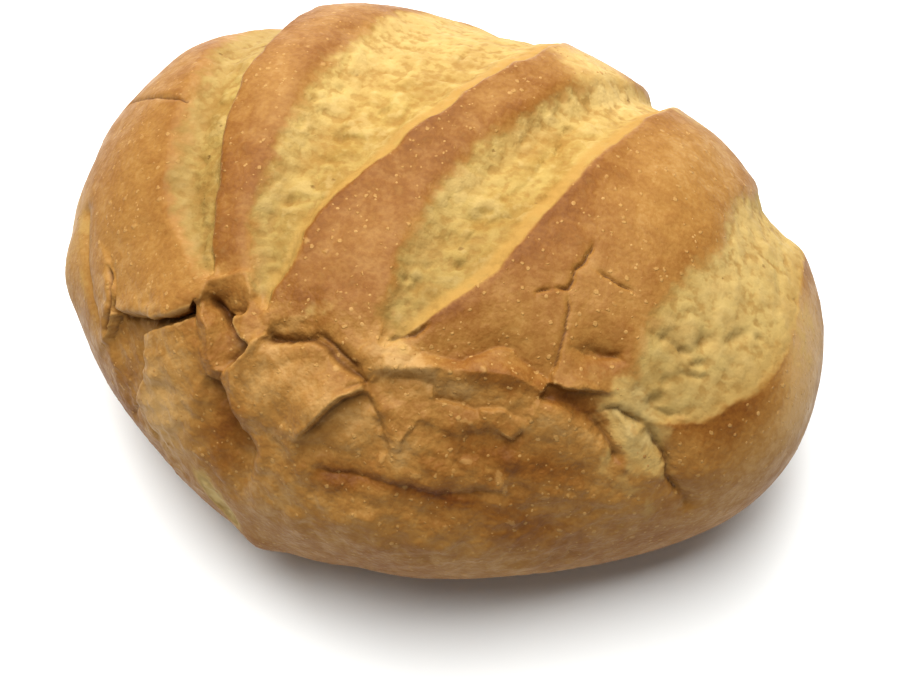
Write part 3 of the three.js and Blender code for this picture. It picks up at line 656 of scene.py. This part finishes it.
browningAndPaintedShading = {  # 0 is the palest crust and 1 the darkest; besides browning, some patches below are painted shade and light
    "usual": 0.5,
    "besideTear": (0.28, 7.0),  # darker to the right of each slash, and how far that reaches in millimetres
    "flank": 0.14,  # darker where the crust rolls over into a slash
    "opened": -0.3,
    "patches": [  # map x, map y, reach along x and y, how much darker; most are browning, but the dark bands along the belly fold and in the right hollow and the spot on a lit nub are painted shade, and the paler patches on the right end and low on the belly are painted light
        (90, -30, 7, 12, 0.2), (69.5, -57.5, 3, 3, 0.3), (8, 28, 7, 18, -0.16),
        (75, 16, 8, 22, -0.15), (66, -22, 6, 14, -0.1), (-88, 0, 12, 18, -0.12),
        (28, -55.5, 15, 3.5, -0.3), (106, -14, 9, 26, -0.5), (98, -40, 9, 12, -0.2),
        (100, -4, 10, 12, -0.3), (96, 22, 10, 14, -0.1), (-47, 20, 10, 40, -0.1),
        (-15, -38, 12, 12, 0.1), (-17, -45.5, 7, 4, 0.25), (40, -10, 14, 20, 0.08),
        (29, -32, 7, 7, -0.25), (63, 32, 14, 16, -0.25), (-112, -30, 16, 30, -0.3),
        (-70, 60, 30, 30, -0.15), (118, 0, 14, 50, -0.2), (30, 62, 16, 12, -0.5),
        (10, -52, 9, 5, -0.3), (26, -52, 20, 5, 0.05), (25, -82.2, 20, 2.0, 0.45),
        (0, -84, 9, 2.6, 0.2), (1, -85, 7, 4, 0.25), (4, -71, 6, 6, -0.3), (17, -74, 4, 6, -0.3),
        (-6, -66, 5, 4, -0.25), (42, -68, 8, 4, 0.25), (57, -65, 8, 5, 0.25),
        (54, -48.5, 7, 2.5, 0.4), (67, -58, 6, 4, 0.05), (30, -98, 44, 10, -0.1),
        (60, -86, 26, 8, 0.25), (-33, -80, 6, 11, 0.28), (-58, -78, 13, 17, -0.38),
        (-20, -101, 26, 10, -0.17), (30, -49.5, 13, 3.5, 0.22), (10, 62, 9, 12, -0.1),
        (108, -6, 12, 18, -0.15), (-20, -64, 12, 9, -0.15), (56, -56, 8, 4, -0.15),
    ],
    "raw": [  # nearly unbaked, but for the strips along the left and right ends, which are painted highlight: map x, map y, half length, half width, turn in degrees, how pale
        (73, -50, 11, 6.5, -35, 1.15), (80, -62, 14, 8, -40, 0.3), (60, 55, 10, 7, -20, 0.6),
        (36, 56, 18, 12, -30, 1.1), (-100, -32, 17, 6, 100, 0.36), (104, -3, 15, 7, 80, 0.5),
        (-113, -18, 28, 6, 90, 0.5), (-90, 38, 15, 9, 60, 0.3), (-41.5, -108, 11, 4.2, -68, 1.7),
        (67, -44, 9, 6, -20, 1.15), (68, -58, 6, 4, -40, 0.6), (8, -50, 7, 3, 15, 0.5),
        (10, -45, 5, 3, 80, 0.5), (-12, -46, 6, 2.6, 35, 0.42),
    ],
}


def rawLevel(at):
    return np.max([pale * spotLevel(at, *spot) for *spot, pale in browningAndPaintedShading["raw"]], axis=0)


scuffs = [  # pale rubbed marks: map x, map y, half length, half width, turn in degrees
    (44, -73.2, 2.6, 1.0, -62), (46.5, -75.6, 1.6, 0.7, -75), (60, -53.6, 1.8, 0.9, -30),
    (-26, -57.5, 2.0, 1.2, 70), (-30, -67, 1.8, 0.9, 100), (-11, -76, 2.0, 0.9, 20),
    (34, -71.5, 2.2, 0.8, 15), (22, -78, 2.2, 0.7, 10), (12.5, -76, 1.6, 0.8, 75),
    (52, -84, 2.0, 0.8, -20), (58, -74, 1.4, 1.0, 30), (8, -92, 1.8, 0.8, 30), (-18, -50.5, 2.6, 1.6, 60),
    (41.5, -61.8, 2.2, 0.7, -10), (30, -62, 2.4, 0.7, 5), (-60, -51, 4.0, 1.0, 5),
    (70, -48.5, 2.0, 0.8, -30), (79, -40, 2.2, 0.7, 20),
]


def scuffLevel(at):
    return np.max([spotLevel(at, *spot) for spot in scuffs], axis=0)


def bakeAndPaintedShadingLevel(at, openness, beside, flank):
    gain, reach = browningAndPaintedShading["besideTear"]
    level = browningAndPaintedShading["usual"] + gain * np.exp(-np.maximum(beside, 0) / reach)
    level += browningAndPaintedShading["opened"] * openness + browningAndPaintedShading["flank"] * flank + patchSum(at, browningAndPaintedShading["patches"])
    return np.clip(level, 0, 1)


grading = {  # where facets are halved, in millimetres
    "lowestRay": -0.75,  # the foot below this isn't split
    "slashWidth": 1.15,  # half widths
    "crumpledSide": (-112, -44),  # map y
    "crumpledEnds": 98,  # map x
    "twiceWithin": 2.5,  # of a sharp line
    "thriceWithin": 0.7,
}


def wantedSplits(rays):
    at = toMap(rays)
    sharp = np.full(len(at), np.inf)
    for corners in crumple["plates"].values():
        sharp = np.minimum(sharp, np.abs(insideBy(np.array(corners, float)[:, :2], at)))
    for _, width, path in creases["paths"].values():
        sharp = np.minimum(sharp, np.abs(alongPath(np.array(path, float), at)["signed"]) - 0.5 * width)
    opened = np.zeros(len(at), bool)
    for *_, ends, across, beyond in besideSlashes(at):
        sharp = np.where(ends > 0.2, np.minimum(sharp, np.abs(beyond)), sharp)
        opened |= (np.abs(across) < grading["slashWidth"]) & (ends > 0.1)
    x, y = at.T
    below, above = grading["crumpledSide"]
    crumpled = (y < above) & (y > below) & (np.abs(x) < grading["crumpledEnds"])
    splits = np.where(rays[:, 2] > grading["lowestRay"], 1, 0)
    splits[opened | crumpled | (sharp < grading["twiceWithin"])] = 2
    splits[sharp < grading["thriceWithin"]] = 3
    return splits


def mainRelief(at):
    return slashRelief(at)[0] + plateRelief(at) + creaseRelief(at)[0] - pitRelief(at)


# for each reach: above 0 along rims and edges, below 0 in creases and hollows
def rimLevels(at, reaches=(1.1, 3.2)):
    here = mainRelief(at)
    for reach in reaches:
        ring = [(reach * math.cos(turn), reach * math.sin(turn)) for turn in np.arange(4) * math.pi / 2]
        yield here - sum(mainRelief(at + step) for step in ring) / len(ring)


crustSpecks = {  # small pale blisters all over the crust
    "density": 52000.0,  # to the square metre
    "radius": (0.0003, 0.00068),
    "rarelyLarge": 3.0,  # the higher, the fewer large ones
    "flatness": 0.24,
    "sunk": 0.52,  # how deep a blister's middle lies, as a share of its height
    "uneven": ((0.7, 0.7, 0.7), (1.35, 1.35, 1.3), 5),  # least and most stretch, seed
    "spin": ((0.0, 0.0, -3.14), (0.0, 0.0, 3.14), 6),  # least and most turn, seed
    "sides": (7, 6),  # segments and rings of each dome
    "seed": 8,
    "above": (5, 6),  # millimetres: the height where they start, and over how much they fill in
    "notInCrumb": 4,  # none where a crease's painted shade is above this
    "darkest": 0.2,  # none in creases darker than this
    "clusters": {"size": 16, "seed": 61, "least": 0.35},  # millimetres, and their share between clusters
}


def addObject(name, data):
    made = bpy.data.objects.new(name, data)
    bpy.context.collection.objects.link(made)
    return made


def makeLoaf():
    look = fineCrust
    rays, faces = gradedSphere(wantedSplits)
    at = toMap(rays)
    plain, _ = plainLoaf(rays)
    noises = {size: np.stack([cloudNoise(plain, size, seed) for seed in look["wobbleSeeds"]], -1)
              for size, _ in look["wobble"]}
    bySize, most = look["tornWobble"].values()
    ragged = at + sum(amount * noises[size] for size, amount in look["wobble"])
    torn = at + sum(min(most, bySize * size) * amount * noises[size] for size, amount in look["wobble"])
    slash, openness, ridge, beside, flank, paintedLightLeftWall = slashRelief(torn)
    crease, shift, shade = creaseRelief(ragged)
    points, normals = plainLoaf(fromMap(at + shift))
    scuff = scuffLevel(ragged)
    relief = slash + crease + plateRelief(ragged) - pitRelief(ragged)
    relief += patchSum(at, swells)
    relief += lumpRelief(plain)
    relief += look["scuffHeight"] * scuff
    raw = rawLevel(ragged)
    rawSponge = look["rawSponge"]["gain"] * np.clip(raw - look["rawSponge"]["from"], 0, 1)
    spongy = np.maximum(openness * (1 - look["smoothWall"] * ridge), rawSponge)
    fine, crumbRise = fineRelief(at, plain, spongy, 1 - look["rawCalm"] * np.clip(raw, 0, 1))
    relief += fine - loafForm["inset"]
    aboveFoot = rampUp(points[:, 2], *loafForm["plainFoot"])
    points = points + normals * (relief * aboveFoot)[:, None]
    points[:, 2] = flatFoot(points[:, 2])
    rim, hollow = (level * aboveFoot for level in rimLevels(ragged))
    crust = rampUp(points[:, 2], *crustSpecks["above"])
    crust *= (1 - smoothStep(openness * crustSpecks["notInCrumb"])) * (shade < crustSpecks["darkest"])
    size, seed, least = crustSpecks["clusters"].values()
    blistered = crust * (least + (1 - least) * smoothStep(cloudNoise(plain, size, seed) + 0.4))
    middle = (points.min(0) + points.max(0)) / 2
    points[:, :2] -= middle[:2]
    mesh = bpy.data.meshes.new("loafCrust")
    mesh.from_pydata((points / 1000).tolist(), [], faces)
    mesh.shade_smooth()
    # the bake level carries painted shade and light from the patches as well as browning
    levels = {"openness": openness, "ridge": ridge, "bake": bakeAndPaintedShadingLevel(at, openness, beside, flank),
              "shade": shade, "rim": rim, "hollow": hollow, "crumbRise": crumbRise, "scuff": scuff,
              "paintedLightLeftWall": paintedLightLeftWall, "raw": rawLevel(torn), "blistered": blistered,
              "mapX": at[:, 0], "mapY": at[:, 1]}
    for name, values in levels.items():
        mesh.attributes.new(name, "FLOAT", "POINT").data.foreach_set("value", values.astype(np.float32))
    triangles = sum(len(face) - 2 for face in faces)
    span = points.max(0) - points.min(0)
    print("loaf", len(points), "vertices", triangles, "triangles", span.round(1), "mm")
    return addObject("loafCrust", mesh)


def newMaterial(name, settings):  # the material, its nodes and its main shader
    material = bpy.data.materials.new(name)
    material.use_nodes = True
    shader = material.node_tree.nodes["Principled BSDF"]
    for label, value in settings.items():
        shader.inputs[label].default_value = value
    return material, material.node_tree, shader


def linear(red, green, blue):  # a colour as a screen shows it, 0 to 255, as the light that it is
    shares = [c / 255 for c in (red, green, blue)]
    return (*(((c + 0.055) / 1.055) ** 2.4 if c > 0.04 else c / 12.92 for c in shares), 1.0)


def addNode(tree, kind, inputs=(), **settings):  # an input is linked to a socket or set to a value
    made = tree.nodes.new(kind if "Node" in kind else "ShaderNode" + kind)
    for name, value in settings.items():
        setattr(made, name, value)
    for key, value in dict(inputs).items():
        if isinstance(value, bpy.types.NodeSocket):
            tree.links.new(value, made.inputs[key])
        else:
            made.inputs[key].default_value = value
    return made


def calculate(tree, operation, first, second=0.0, clamp=False):
    return addNode(tree, "Math", {0: first, 1: second}, operation=operation, use_clamp=clamp).outputs[0]


def weighted(tree, seen, weights):  # the sum of the named levels, each times its weight
    total = 0.0
    for name, weight in weights.items():
        total = calculate(tree, "ADD", total, calculate(tree, "MULTIPLY", seen[name], weight))
    return total


def blendColour(tree, factor, first, second):
    return addNode(tree, "Mix", {0: factor, 6: first, 7: second}, data_type="RGBA").outputs[2]


def layered(tree, colour, layers):  # colours of the finish laid over each other
    for level, name in layers:
        colour = blendColour(tree, level, colour, crustFinish[name])
    return colour


def remap(tree, value, low, high, toLow=0.0, toHigh=1.0, smooth=True):
    kind = "SMOOTHSTEP" if smooth else "LINEAR"
    inputs = {0: value, 1: low, 2: high, 3: toLow, 4: toHigh}
    return addNode(tree, "MapRange", inputs, interpolation_type=kind).outputs[0]


def noise(tree, place, size, detail=3.0, roughness=0.55):  # size in metres
    inputs = {"Vector": place, "Scale": 1 / size, "Detail": detail, "Roughness": roughness}
    return addNode(tree, "TexNoise", inputs).outputs[0]


crustFinish = {
    "palest": linear(175, 136, 80),
    "golden": linear(150, 106, 50),
    "brown": linear(127, 80, 30),
    "darkest": linear(102, 56, 17),
    # painted shade: the colour laid into creases and hollows
    "paintedShadeBrown": linear(74, 40, 15),
    "raw": linear(182, 148, 84),
    "rawest": linear(210, 186, 130),
    "torn": linear(165, 125, 60),
    "crumb": linear(154, 120, 55),
    "crumbLight": linear(172, 143, 76),
    "crumbBaked": linear(142, 102, 42),
    # painted shade in the crumb's pinholes
    "crumbPit": linear(112, 74, 30),
    # pale crumb, also laid on as painted light
    "paleCrumbAndPaintedLight": linear(192, 164, 104),
    # painted shade colour for the crumb towards the front and the left end
    "crumbShaded": linear(112, 86, 44),
    "blister": linear(180, 138, 78),
    "paleDome": linear(172, 130, 74),
    "goldenAt": 0.38,  # along the ramp from the palest crust to the darkest
    "brownAt": 0.7,
    "shader": {"Specular IOR Level": 0.1},
    "fineBlisters": {"apart": 0.0021, "share": 0.6, "radius": 0.34, "strength": 0.75},
    "wideBlisters": {"apart": 0.0056, "share": 0.5, "radius": 0.2, "strength": 0.7},
    "crumbHoles": {"apart": 0.0046, "share": 0.35, "radius": 0.2, "strength": 0.7},
    "spotEdge": (-0.02, 0.12),  # how soft a spot's edge is
    "spotWander": {"scale": 700.0, "detail": 2.0, "by": 0.0012},  # so that spots aren't quite round
    "lumpScale": 1 / 0.0028,  # the crumb's small lumps, 2.8 mm apart
    "noises": {  # size in metres, detail, roughness
        "cloud": (0.028, 4, 0.55),
        "mottle": (0.0045, 3, 0.5),
        "grain": (0.0012, 2, 0.5),
        "soft": (0.008, 4, 0.55),
        "toasted": (0.013, 5, 0.6),
        "pores": (0.0024, 2, 0.5),
    },
    "ranges": {  # from one level to another, and what they become
        "cloudBake": (0.3, 0.7, -0.13, 0.13),
        "mottleBake": (0.3, 0.7, -0.09, 0.09),
        "grainBake": (0.3, 0.7, -0.07, 0.07),
        "crumpledSide": (-38.0, -52.0),
        "crumpledMottle": (0.0, 1.0, 1.0, 1.2),
        "rawRagged": (0.25, 0.75, -0.3, 0.3),
        "rawCrust": (0.15, 0.9, 0.0, 0.9),
        "rawestCrust": (1.0, 1.6),
        "lightCrumb": (0.36, 0.64),
        "bakedCrumb": (0.46, 0.72, 0.0, 0.6),
        "freshRight": (55.0, 85.0, 0.0, 0.45),
        "freshBack": (5.0, 70.0, 0.0, 0.4),
        "freshRaw": (0.2, 1.0, 0.0, 0.7),
        "poreDepth": (0.3, 0.7, -0.5, 0.5),
        "sunkCrumb": (0.05, -0.75, 0.0, 0.6),
        "raisedCrumb": (0.1, 0.8, 0.0, 0.35),
        "duskFront": (-50.0, 22.0, 0.46, 0.0),
        "duskLeft": (-75.0, -48.0, 0.36, 0.0),
        "lessDuskRight": (35.0, 60.0, 1.0, 0.65),
        "lessDuskRaw": (1.1, 1.6, 1.0, 0.1),
        "frayRagged": (0.25, 0.75, -0.25, 0.25),
        "frayOpen": (0.2, 0.85),
        "frayRaw": (0.55, 1.15, 0.0, 0.75),
        "tornPores": (0.25, 0.6, 0.5, 0.95),
        "rimGrain": (0.3, 0.7, -0.5, 0.3),
        "rimMottle": (0.35, 0.65, -0.4, 0.2),
        "rimPale": (0.25, 1.3, 0.0, 0.5),
        "hollowDark": (-0.3, -1.6, 0.0, 0.55),
        "scuffGrain": (0.3, 0.7, -0.5, 0.15),
        "scuffPale": (0.1, 0.6),
        "creviceDark": (0.3, 1.0, 0.0, 0.75),
        "dullOpen": (0.0, 1.0, 0.5, 0.7),
        "dullMottle": (0.3, 0.7, -0.07, 0.07),
        "spongeWall": (0.3, 0.9, 1.0, 0.5),
        "spongeRight": (55.0, 75.0, 1.0, 0.65),
        "spongeBack": (40.0, 70.0, 1.0, 0.6),
    },
    "shares": {"spots": 0.75, "paintedLightLeftWall": 0.3, "hollow": 0.5, "scuff": 0.38},
    "leather": {"mottle": 0.6, "grain": 0.3, "chips": 0.5, "spots": 0.4},  # the crust's bump
    "sponge": {"pores": 0.55, "grain": 0.2, "lumps": -0.45, "holes": -0.8},  # the crumb's bump
    "bump": {"Strength": 0.6, "Distance": 0.0009},
}


def blisterSpots(tree, place, apart, share, radius, strength):  # round pale spots of mixed sizes
    cells = addNode(tree, "TexVoronoi", {"Vector": place, "Scale": 1 / apart, "Randomness": 1.0})
    chosen = addNode(tree, "SeparateColor", {0: cells.outputs["Color"]})
    reach = remap(tree, chosen.outputs[0], 1 - share, 1.0, 0.0, radius, smooth=False)
    nearness = calculate(tree, "SUBTRACT", reach, cells.outputs["Distance"])
    spot = remap(tree, nearness, *crustFinish["spotEdge"])
    return calculate(tree, "MULTIPLY", spot, strength)


def makeCrustMaterial():
    finish = crustFinish
    material, tree, shader = newMaterial("goldenCrust", finish["shader"])
    place = addNode(tree, "TexCoord").outputs["Object"]

    def ranged(level, name):
        return remap(tree, level, *finish["ranges"][name])

    def plus(first, second):
        return calculate(tree, "ADD", first, second)

    def times(first, second):
        return calculate(tree, "MULTIPLY", first, second)

    seen = {name: addNode(tree, "Attribute", attribute_name=name).outputs["Fac"]
            for name in ("openness", "ridge", "shade", "bake", "rim", "hollow",
                         "raw", "scuff", "paintedLightLeftWall", "crumbRise", "mapX", "mapY")}
    for name, form in finish["noises"].items():
        seen[name] = noise(tree, place, *form)
    wander = finish["spotWander"]
    inputs = {"Vector": place, "Scale": wander["scale"], "Detail": wander["detail"]}
    aside = addNode(tree, "TexNoise", inputs).outputs[1]
    aside = addNode(tree, "VectorMath", {0: aside, "Scale": wander["by"]}, operation="SCALE").outputs[0]
    warped = addNode(tree, "VectorMath", {0: place, 1: aside}, operation="ADD").outputs[0]
    fine, wide, seen["holes"] = (blisterSpots(tree, warped, **finish[name])
                                 for name in ("fineBlisters", "wideBlisters", "crumbHoles"))
    seen["spots"] = calculate(tree, "MAXIMUM", fine, wide)
    inputs = {"Vector": warped, "Scale": finish["lumpScale"]}
    seen["lumps"] = addNode(tree, "TexVoronoi", inputs).outputs["Distance"]
    crumpled = ranged(seen["mapY"], "crumpledSide")
    seen["chips"] = times(crumpled, seen["pores"])
    rawEdge = plus(seen["raw"], ranged(seen["mottle"], "rawRagged"))

    # crust colour from the bake level, which carries painted shade and light as well as browning
    bake = plus(seen["bake"], ranged(seen["cloud"], "cloudBake"))
    bake = plus(bake, times(ranged(seen["mottle"], "mottleBake"), ranged(crumpled, "crumpledMottle")))
    bake = calculate(tree, "ADD", bake, ranged(seen["grain"], "grainBake"), clamp=True)
    ramp = addNode(tree, "ValToRGB", {0: bake})
    stops = ramp.color_ramp.elements
    stops[0].color = finish["palest"]
    stops[1].color = finish["darkest"]
    for name in ("golden", "brown"):
        stops.new(finish[name + "At"]).color = finish[name]
    crust = layered(tree, ramp.outputs[0], [
        (times(seen["spots"], finish["shares"]["spots"]), "blister"),
        (ranged(rawEdge, "rawCrust"), "raw"),
        (ranged(rawEdge, "rawestCrust"), "rawest"),
    ])

    # painted light on the crumb: paler towards the back and the right end
    paintedCrumbLight = calculate(tree, "MAXIMUM", ranged(seen["mapX"], "freshRight"),
                      ranged(seen["mapY"], "freshBack"))
    rise = plus(seen["crumbRise"], ranged(seen["pores"], "poreDepth"))
    # painted shade on the crumb: darker towards the front and the left end, less so at the right end and on
    # raw crust
    paintedCrumbShade = plus(ranged(seen["mapY"], "duskFront"), ranged(seen["mapX"], "duskLeft"))
    paintedCrumbShade = times(times(paintedCrumbShade, ranged(seen["mapX"], "lessDuskRight")), ranged(rawEdge, "lessDuskRaw"))
    crumb = layered(tree, finish["crumb"], [
        (ranged(seen["soft"], "lightCrumb"), "crumbLight"),
        (ranged(seen["toasted"], "bakedCrumb"), "crumbBaked"),
        # painted light: the back, the right end and each slash's shaded left side
        (paintedCrumbLight, "paleCrumbAndPaintedLight"),
        (times(seen["paintedLightLeftWall"], finish["shares"]["paintedLightLeftWall"]), "paleCrumbAndPaintedLight"),
        (ranged(rawEdge, "freshRaw"), "paleCrumbAndPaintedLight"),
        # painted shade in the crumb's hollows and painted light on its lumps
        (ranged(rise, "sunkCrumb"), "crumbBaked"),
        (ranged(rise, "raisedCrumb"), "paleCrumbAndPaintedLight"),
        # painted shade in the pinholes
        (seen["holes"], "crumbPit"),
        (paintedCrumbShade, "crumbShaded"),
    ])

    fray = plus(seen["openness"], ranged(seen["mottle"], "frayRagged"))
    opened = calculate(tree, "MAXIMUM", ranged(fray, "frayOpen"), ranged(rawEdge, "frayRaw"))
    # paler along rims and edges: partly worn, floury crust and partly painted highlight
    rim = plus(plus(seen["rim"], ranged(seen["grain"], "rimGrain")), ranged(seen["mottle"], "rimMottle"))
    # the deeper of the two concavity levels, for painted shade in hollows
    hollow = calculate(tree, "MINIMUM", seen["rim"], times(seen["hollow"], finish["shares"]["hollow"]))
    scuffed = ranged(plus(seen["scuff"], ranged(seen["grain"], "scuffGrain")), "scuffPale")
    colour = layered(tree, blendColour(tree, opened, crust, crumb), [
        (times(seen["ridge"], ranged(seen["pores"], "tornPores")), "torn"),
        # rims: partly wear and partly painted highlight
        (ranged(rim, "rimPale"), "blister"),
        # painted shade in hollows
        (ranged(hollow, "hollowDark"), "paintedShadeBrown"),
        (times(scuffed, finish["shares"]["scuff"]), "blister"),
        # painted shade along the creases
        (ranged(seen["shade"], "creviceDark"), "paintedShadeBrown"),
    ])
    tree.links.new(colour, shader.inputs["Base Color"])
    dull = plus(ranged(opened, "dullOpen"), ranged(seen["mottle"], "dullMottle"))
    tree.links.new(dull, shader.inputs["Roughness"])

    leather = weighted(tree, seen, finish["leather"])
    sponge = weighted(tree, seen, finish["sponge"])
    for name, calmed in (("ridge", "spongeWall"), ("mapX", "spongeRight"), ("mapY", "spongeBack")):
        sponge = times(sponge, ranged(seen[name], calmed))
    height = addNode(tree, "Mix", {0: opened, 2: leather, 3: sponge}, data_type="FLOAT").outputs[0]
    bump = addNode(tree, "Bump", {"Height": height, **finish["bump"]})
    tree.links.new(bump.outputs[0], shader.inputs["Normal"])
    print("crust finish", len(tree.nodes), "nodes")
    return material


def makeBlisterTree():  # scatters flat domes where an attribute says, in random sizes
    tree = bpy.data.node_groups.new("blisterScatter", "GeometryNodeTree")
    kinds = {"Geometry": "Geometry", "Density": "Float", "Smallest": "Float", "Largest": "Float",
             "Flatness": "Float", "Sunk": "Float", "Seed": "Int", "Where": "String", "Finish": "Material"}
    sockets = {}
    for label, kind in kinds.items():
        socket = tree.interface.new_socket(label, in_out="INPUT", socket_type="NodeSocket" + kind)
        sockets[label] = socket.identifier
    tree.interface.new_socket("Geometry", in_out="OUTPUT", socket_type="NodeSocketGeometry")
    given = tree.nodes.new("NodeGroupInput").outputs
    chance = addNode(tree, "GeometryNodeInputNamedAttribute", {"Name": given["Where"]}, data_type="FLOAT")
    density = calculate(tree, "MULTIPLY", chance.outputs[0], given["Density"])
    points = addNode(tree, "GeometryNodeDistributePointsOnFaces",
                     {"Mesh": given["Geometry"], "Density": density, "Seed": given["Seed"]})
    draw = addNode(tree, "FunctionNodeRandomValue", {"Seed": given["Seed"]}, data_type="FLOAT").outputs[1]
    mostlySmall = calculate(tree, "POWER", draw, crustSpecks["rarelyLarge"])
    radius = remap(tree, mostlySmall, 0.0, 1.0, given["Smallest"], given["Largest"], smooth=False)
    tall = addNode(tree, "CombineXYZ", {0: 1.0, 1: 1.0, 2: given["Flatness"]}).outputs[0]
    uneven, spin = (addNode(tree, "FunctionNodeRandomValue", {0: least, 1: most, "Seed": seed},
                            data_type="FLOAT_VECTOR").outputs[0]
                    for least, most, seed in (crustSpecks["uneven"], crustSpecks["spin"]))
    shape = addNode(tree, "VectorMath", {0: tall, 1: uneven}, operation="MULTIPLY").outputs[0]
    size = addNode(tree, "VectorMath", {0: shape, "Scale": radius}, operation="SCALE").outputs[0]
    turn = addNode(tree, "FunctionNodeRotateRotation", {0: points.outputs["Rotation"], 1: spin},
                   rotation_space="LOCAL").outputs[0]
    segments, rings = crustSpecks["sides"]
    dome = addNode(tree, "GeometryNodeMeshUVSphere",
                   {"Segments": segments, "Rings": rings, "Radius": 1.0}).outputs[0]
    down = calculate(tree, "MULTIPLY", given["Sunk"], -1.0)
    down = addNode(tree, "CombineXYZ", {2: down}).outputs[0]
    dome = addNode(tree, "GeometryNodeTransform", {"Geometry": dome, "Translation": down}).outputs[0]
    copies = addNode(tree, "GeometryNodeInstanceOnPoints",
                     {"Points": points.outputs[0], "Instance": dome, "Rotation": turn, "Scale": size})
    real = addNode(tree, "GeometryNodeRealizeInstances", {0: copies.outputs[0]}).outputs[0]
    smooth = addNode(tree, "GeometryNodeSetShadeSmooth", {0: real}).outputs[0]
    finished = addNode(tree, "GeometryNodeSetMaterial", {0: smooth, "Material": given["Finish"]}).outputs[0]
    tree.links.new(finished, tree.nodes.new("NodeGroupOutput").inputs[0])
    return tree, sockets


def makeBlisters(loaf):
    tree, sockets = makeBlisterTree()
    carrier = addObject("blisterCarrier", loaf.data.copy())
    modifier = carrier.modifiers.new("blisters", "NODES")
    modifier.node_group = tree
    smallest, largest = crustSpecks["radius"]
    values = {"Density": crustSpecks["density"], "Smallest": smallest, "Largest": largest,
              "Flatness": crustSpecks["flatness"], "Sunk": crustSpecks["sunk"], "Seed": crustSpecks["seed"],
              "Where": "blistered", "Finish": makeBlisterMaterial()}
    for label, value in values.items():
        modifier[sockets[label]] = value
    evaluated = carrier.evaluated_get(bpy.context.evaluated_depsgraph_get())
    mesh = bpy.data.meshes.new_from_object(evaluated)
    carrier.modifiers.remove(modifier)
    bpy.data.objects.remove(carrier)
    print("blisters", len(mesh.polygons), "faces")
    return addObject("crustBlisters", mesh)


blisterFinish = {  # colours by their names in the crust's finish
    "dark": "golden",
    "light": "paleDome",
    "patches": (0.004, 3),  # size in metres, detail
    "lightFrom": (0.35, 0.65),
    "roughness": (0.3, 0.7, 0.45, 0.65),
    "shader": {"Specular IOR Level": 0.12},
}


def makeBlisterMaterial():
    material, tree, shader = newMaterial("blisterCrust", blisterFinish["shader"])
    place = addNode(tree, "TexCoord").outputs["Object"]
    patch = noise(tree, place, *blisterFinish["patches"])
    light = remap(tree, patch, *blisterFinish["lightFrom"])
    colour = layered(tree, crustFinish[blisterFinish["dark"]], [(light, blisterFinish["light"])])
    tree.links.new(colour, shader.inputs["Base Color"])
    tree.links.new(remap(tree, patch, *blisterFinish["roughness"]), shader.inputs["Roughness"])
    return material


table = {
    "size": 6,  # metres
    "shader": {"Base Color": (0.9, 0.91, 0.895, 1), "Roughness": 0.6},
}


def makeStage():
    bpy.ops.mesh.primitive_plane_add(size=table["size"])
    floor = bpy.context.object
    floor.name = "floor"
    floor.data.materials.append(newMaterial("whiteTable", table["shader"])[0])
    print("table", table["size"], "m wide")


view = {  # metres
    "target": (0.0099, -0.0191, 0.040),
    "from": (0.0622, -0.1868, 0.3443),
    "nearest": 0.01,
    "lens": 50,  # millimetres
    "sensor": 36,
    "exposure": 0.0,
}


def turnTo(place, target):
    return (Vector(target) - Vector(place)).to_track_quat("-Z", "Y").to_euler()


def makeCamera():
    camera = addObject("camera", bpy.data.cameras.new("camera"))
    camera.data.lens = view["lens"]
    camera.data.sensor_width = view["sensor"]
    camera.data.clip_start = view["nearest"]
    camera.location = view["from"]
    camera.rotation_euler = turnTo(view["from"], view["target"])
    bpy.context.scene.camera = camera
    bpy.context.scene.view_settings.view_transform = "Standard"
    bpy.context.scene.view_settings.exposure = view["exposure"]
    print("camera", view["lens"], "mm")


studio = {
    "surround": 0.17,  # strength of the white light from all sides
    "target": (0, 0, 0.03),  # metres
    "panels": {  # place in metres, size, power in watts
        "ceilingPanel": ((-0.14, 0.18, 1.0), 1.0, 23.0),
        "rearPanel": ((-0.35, 1.0, 0.55), 1.0, 9.0),
    },
}


def makeLights():
    world = bpy.data.worlds.new("studio")
    world.use_nodes = True
    background = world.node_tree.nodes["Background"]
    background.inputs["Color"].default_value = (1, 1, 1, 1)
    background.inputs["Strength"].default_value = studio["surround"]
    bpy.context.scene.world = world
    for name, (place, size, watts) in studio["panels"].items():
        lamp = bpy.data.lights.new(name, "AREA")
        lamp.size = size
        lamp.energy = watts
        holder = addObject(name, lamp)
        holder.location = place
        holder.rotation_euler = turnTo(place, studio["target"])
    print("lights", *studio["panels"])


loaf = makeLoaf()
loaf.data.materials.append(makeCrustMaterial())
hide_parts("loaf")
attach(loaf, "root")
blisters = makeBlisters(loaf)
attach(blisters, "root")
makeStage()
makeCamera()
makeLights()
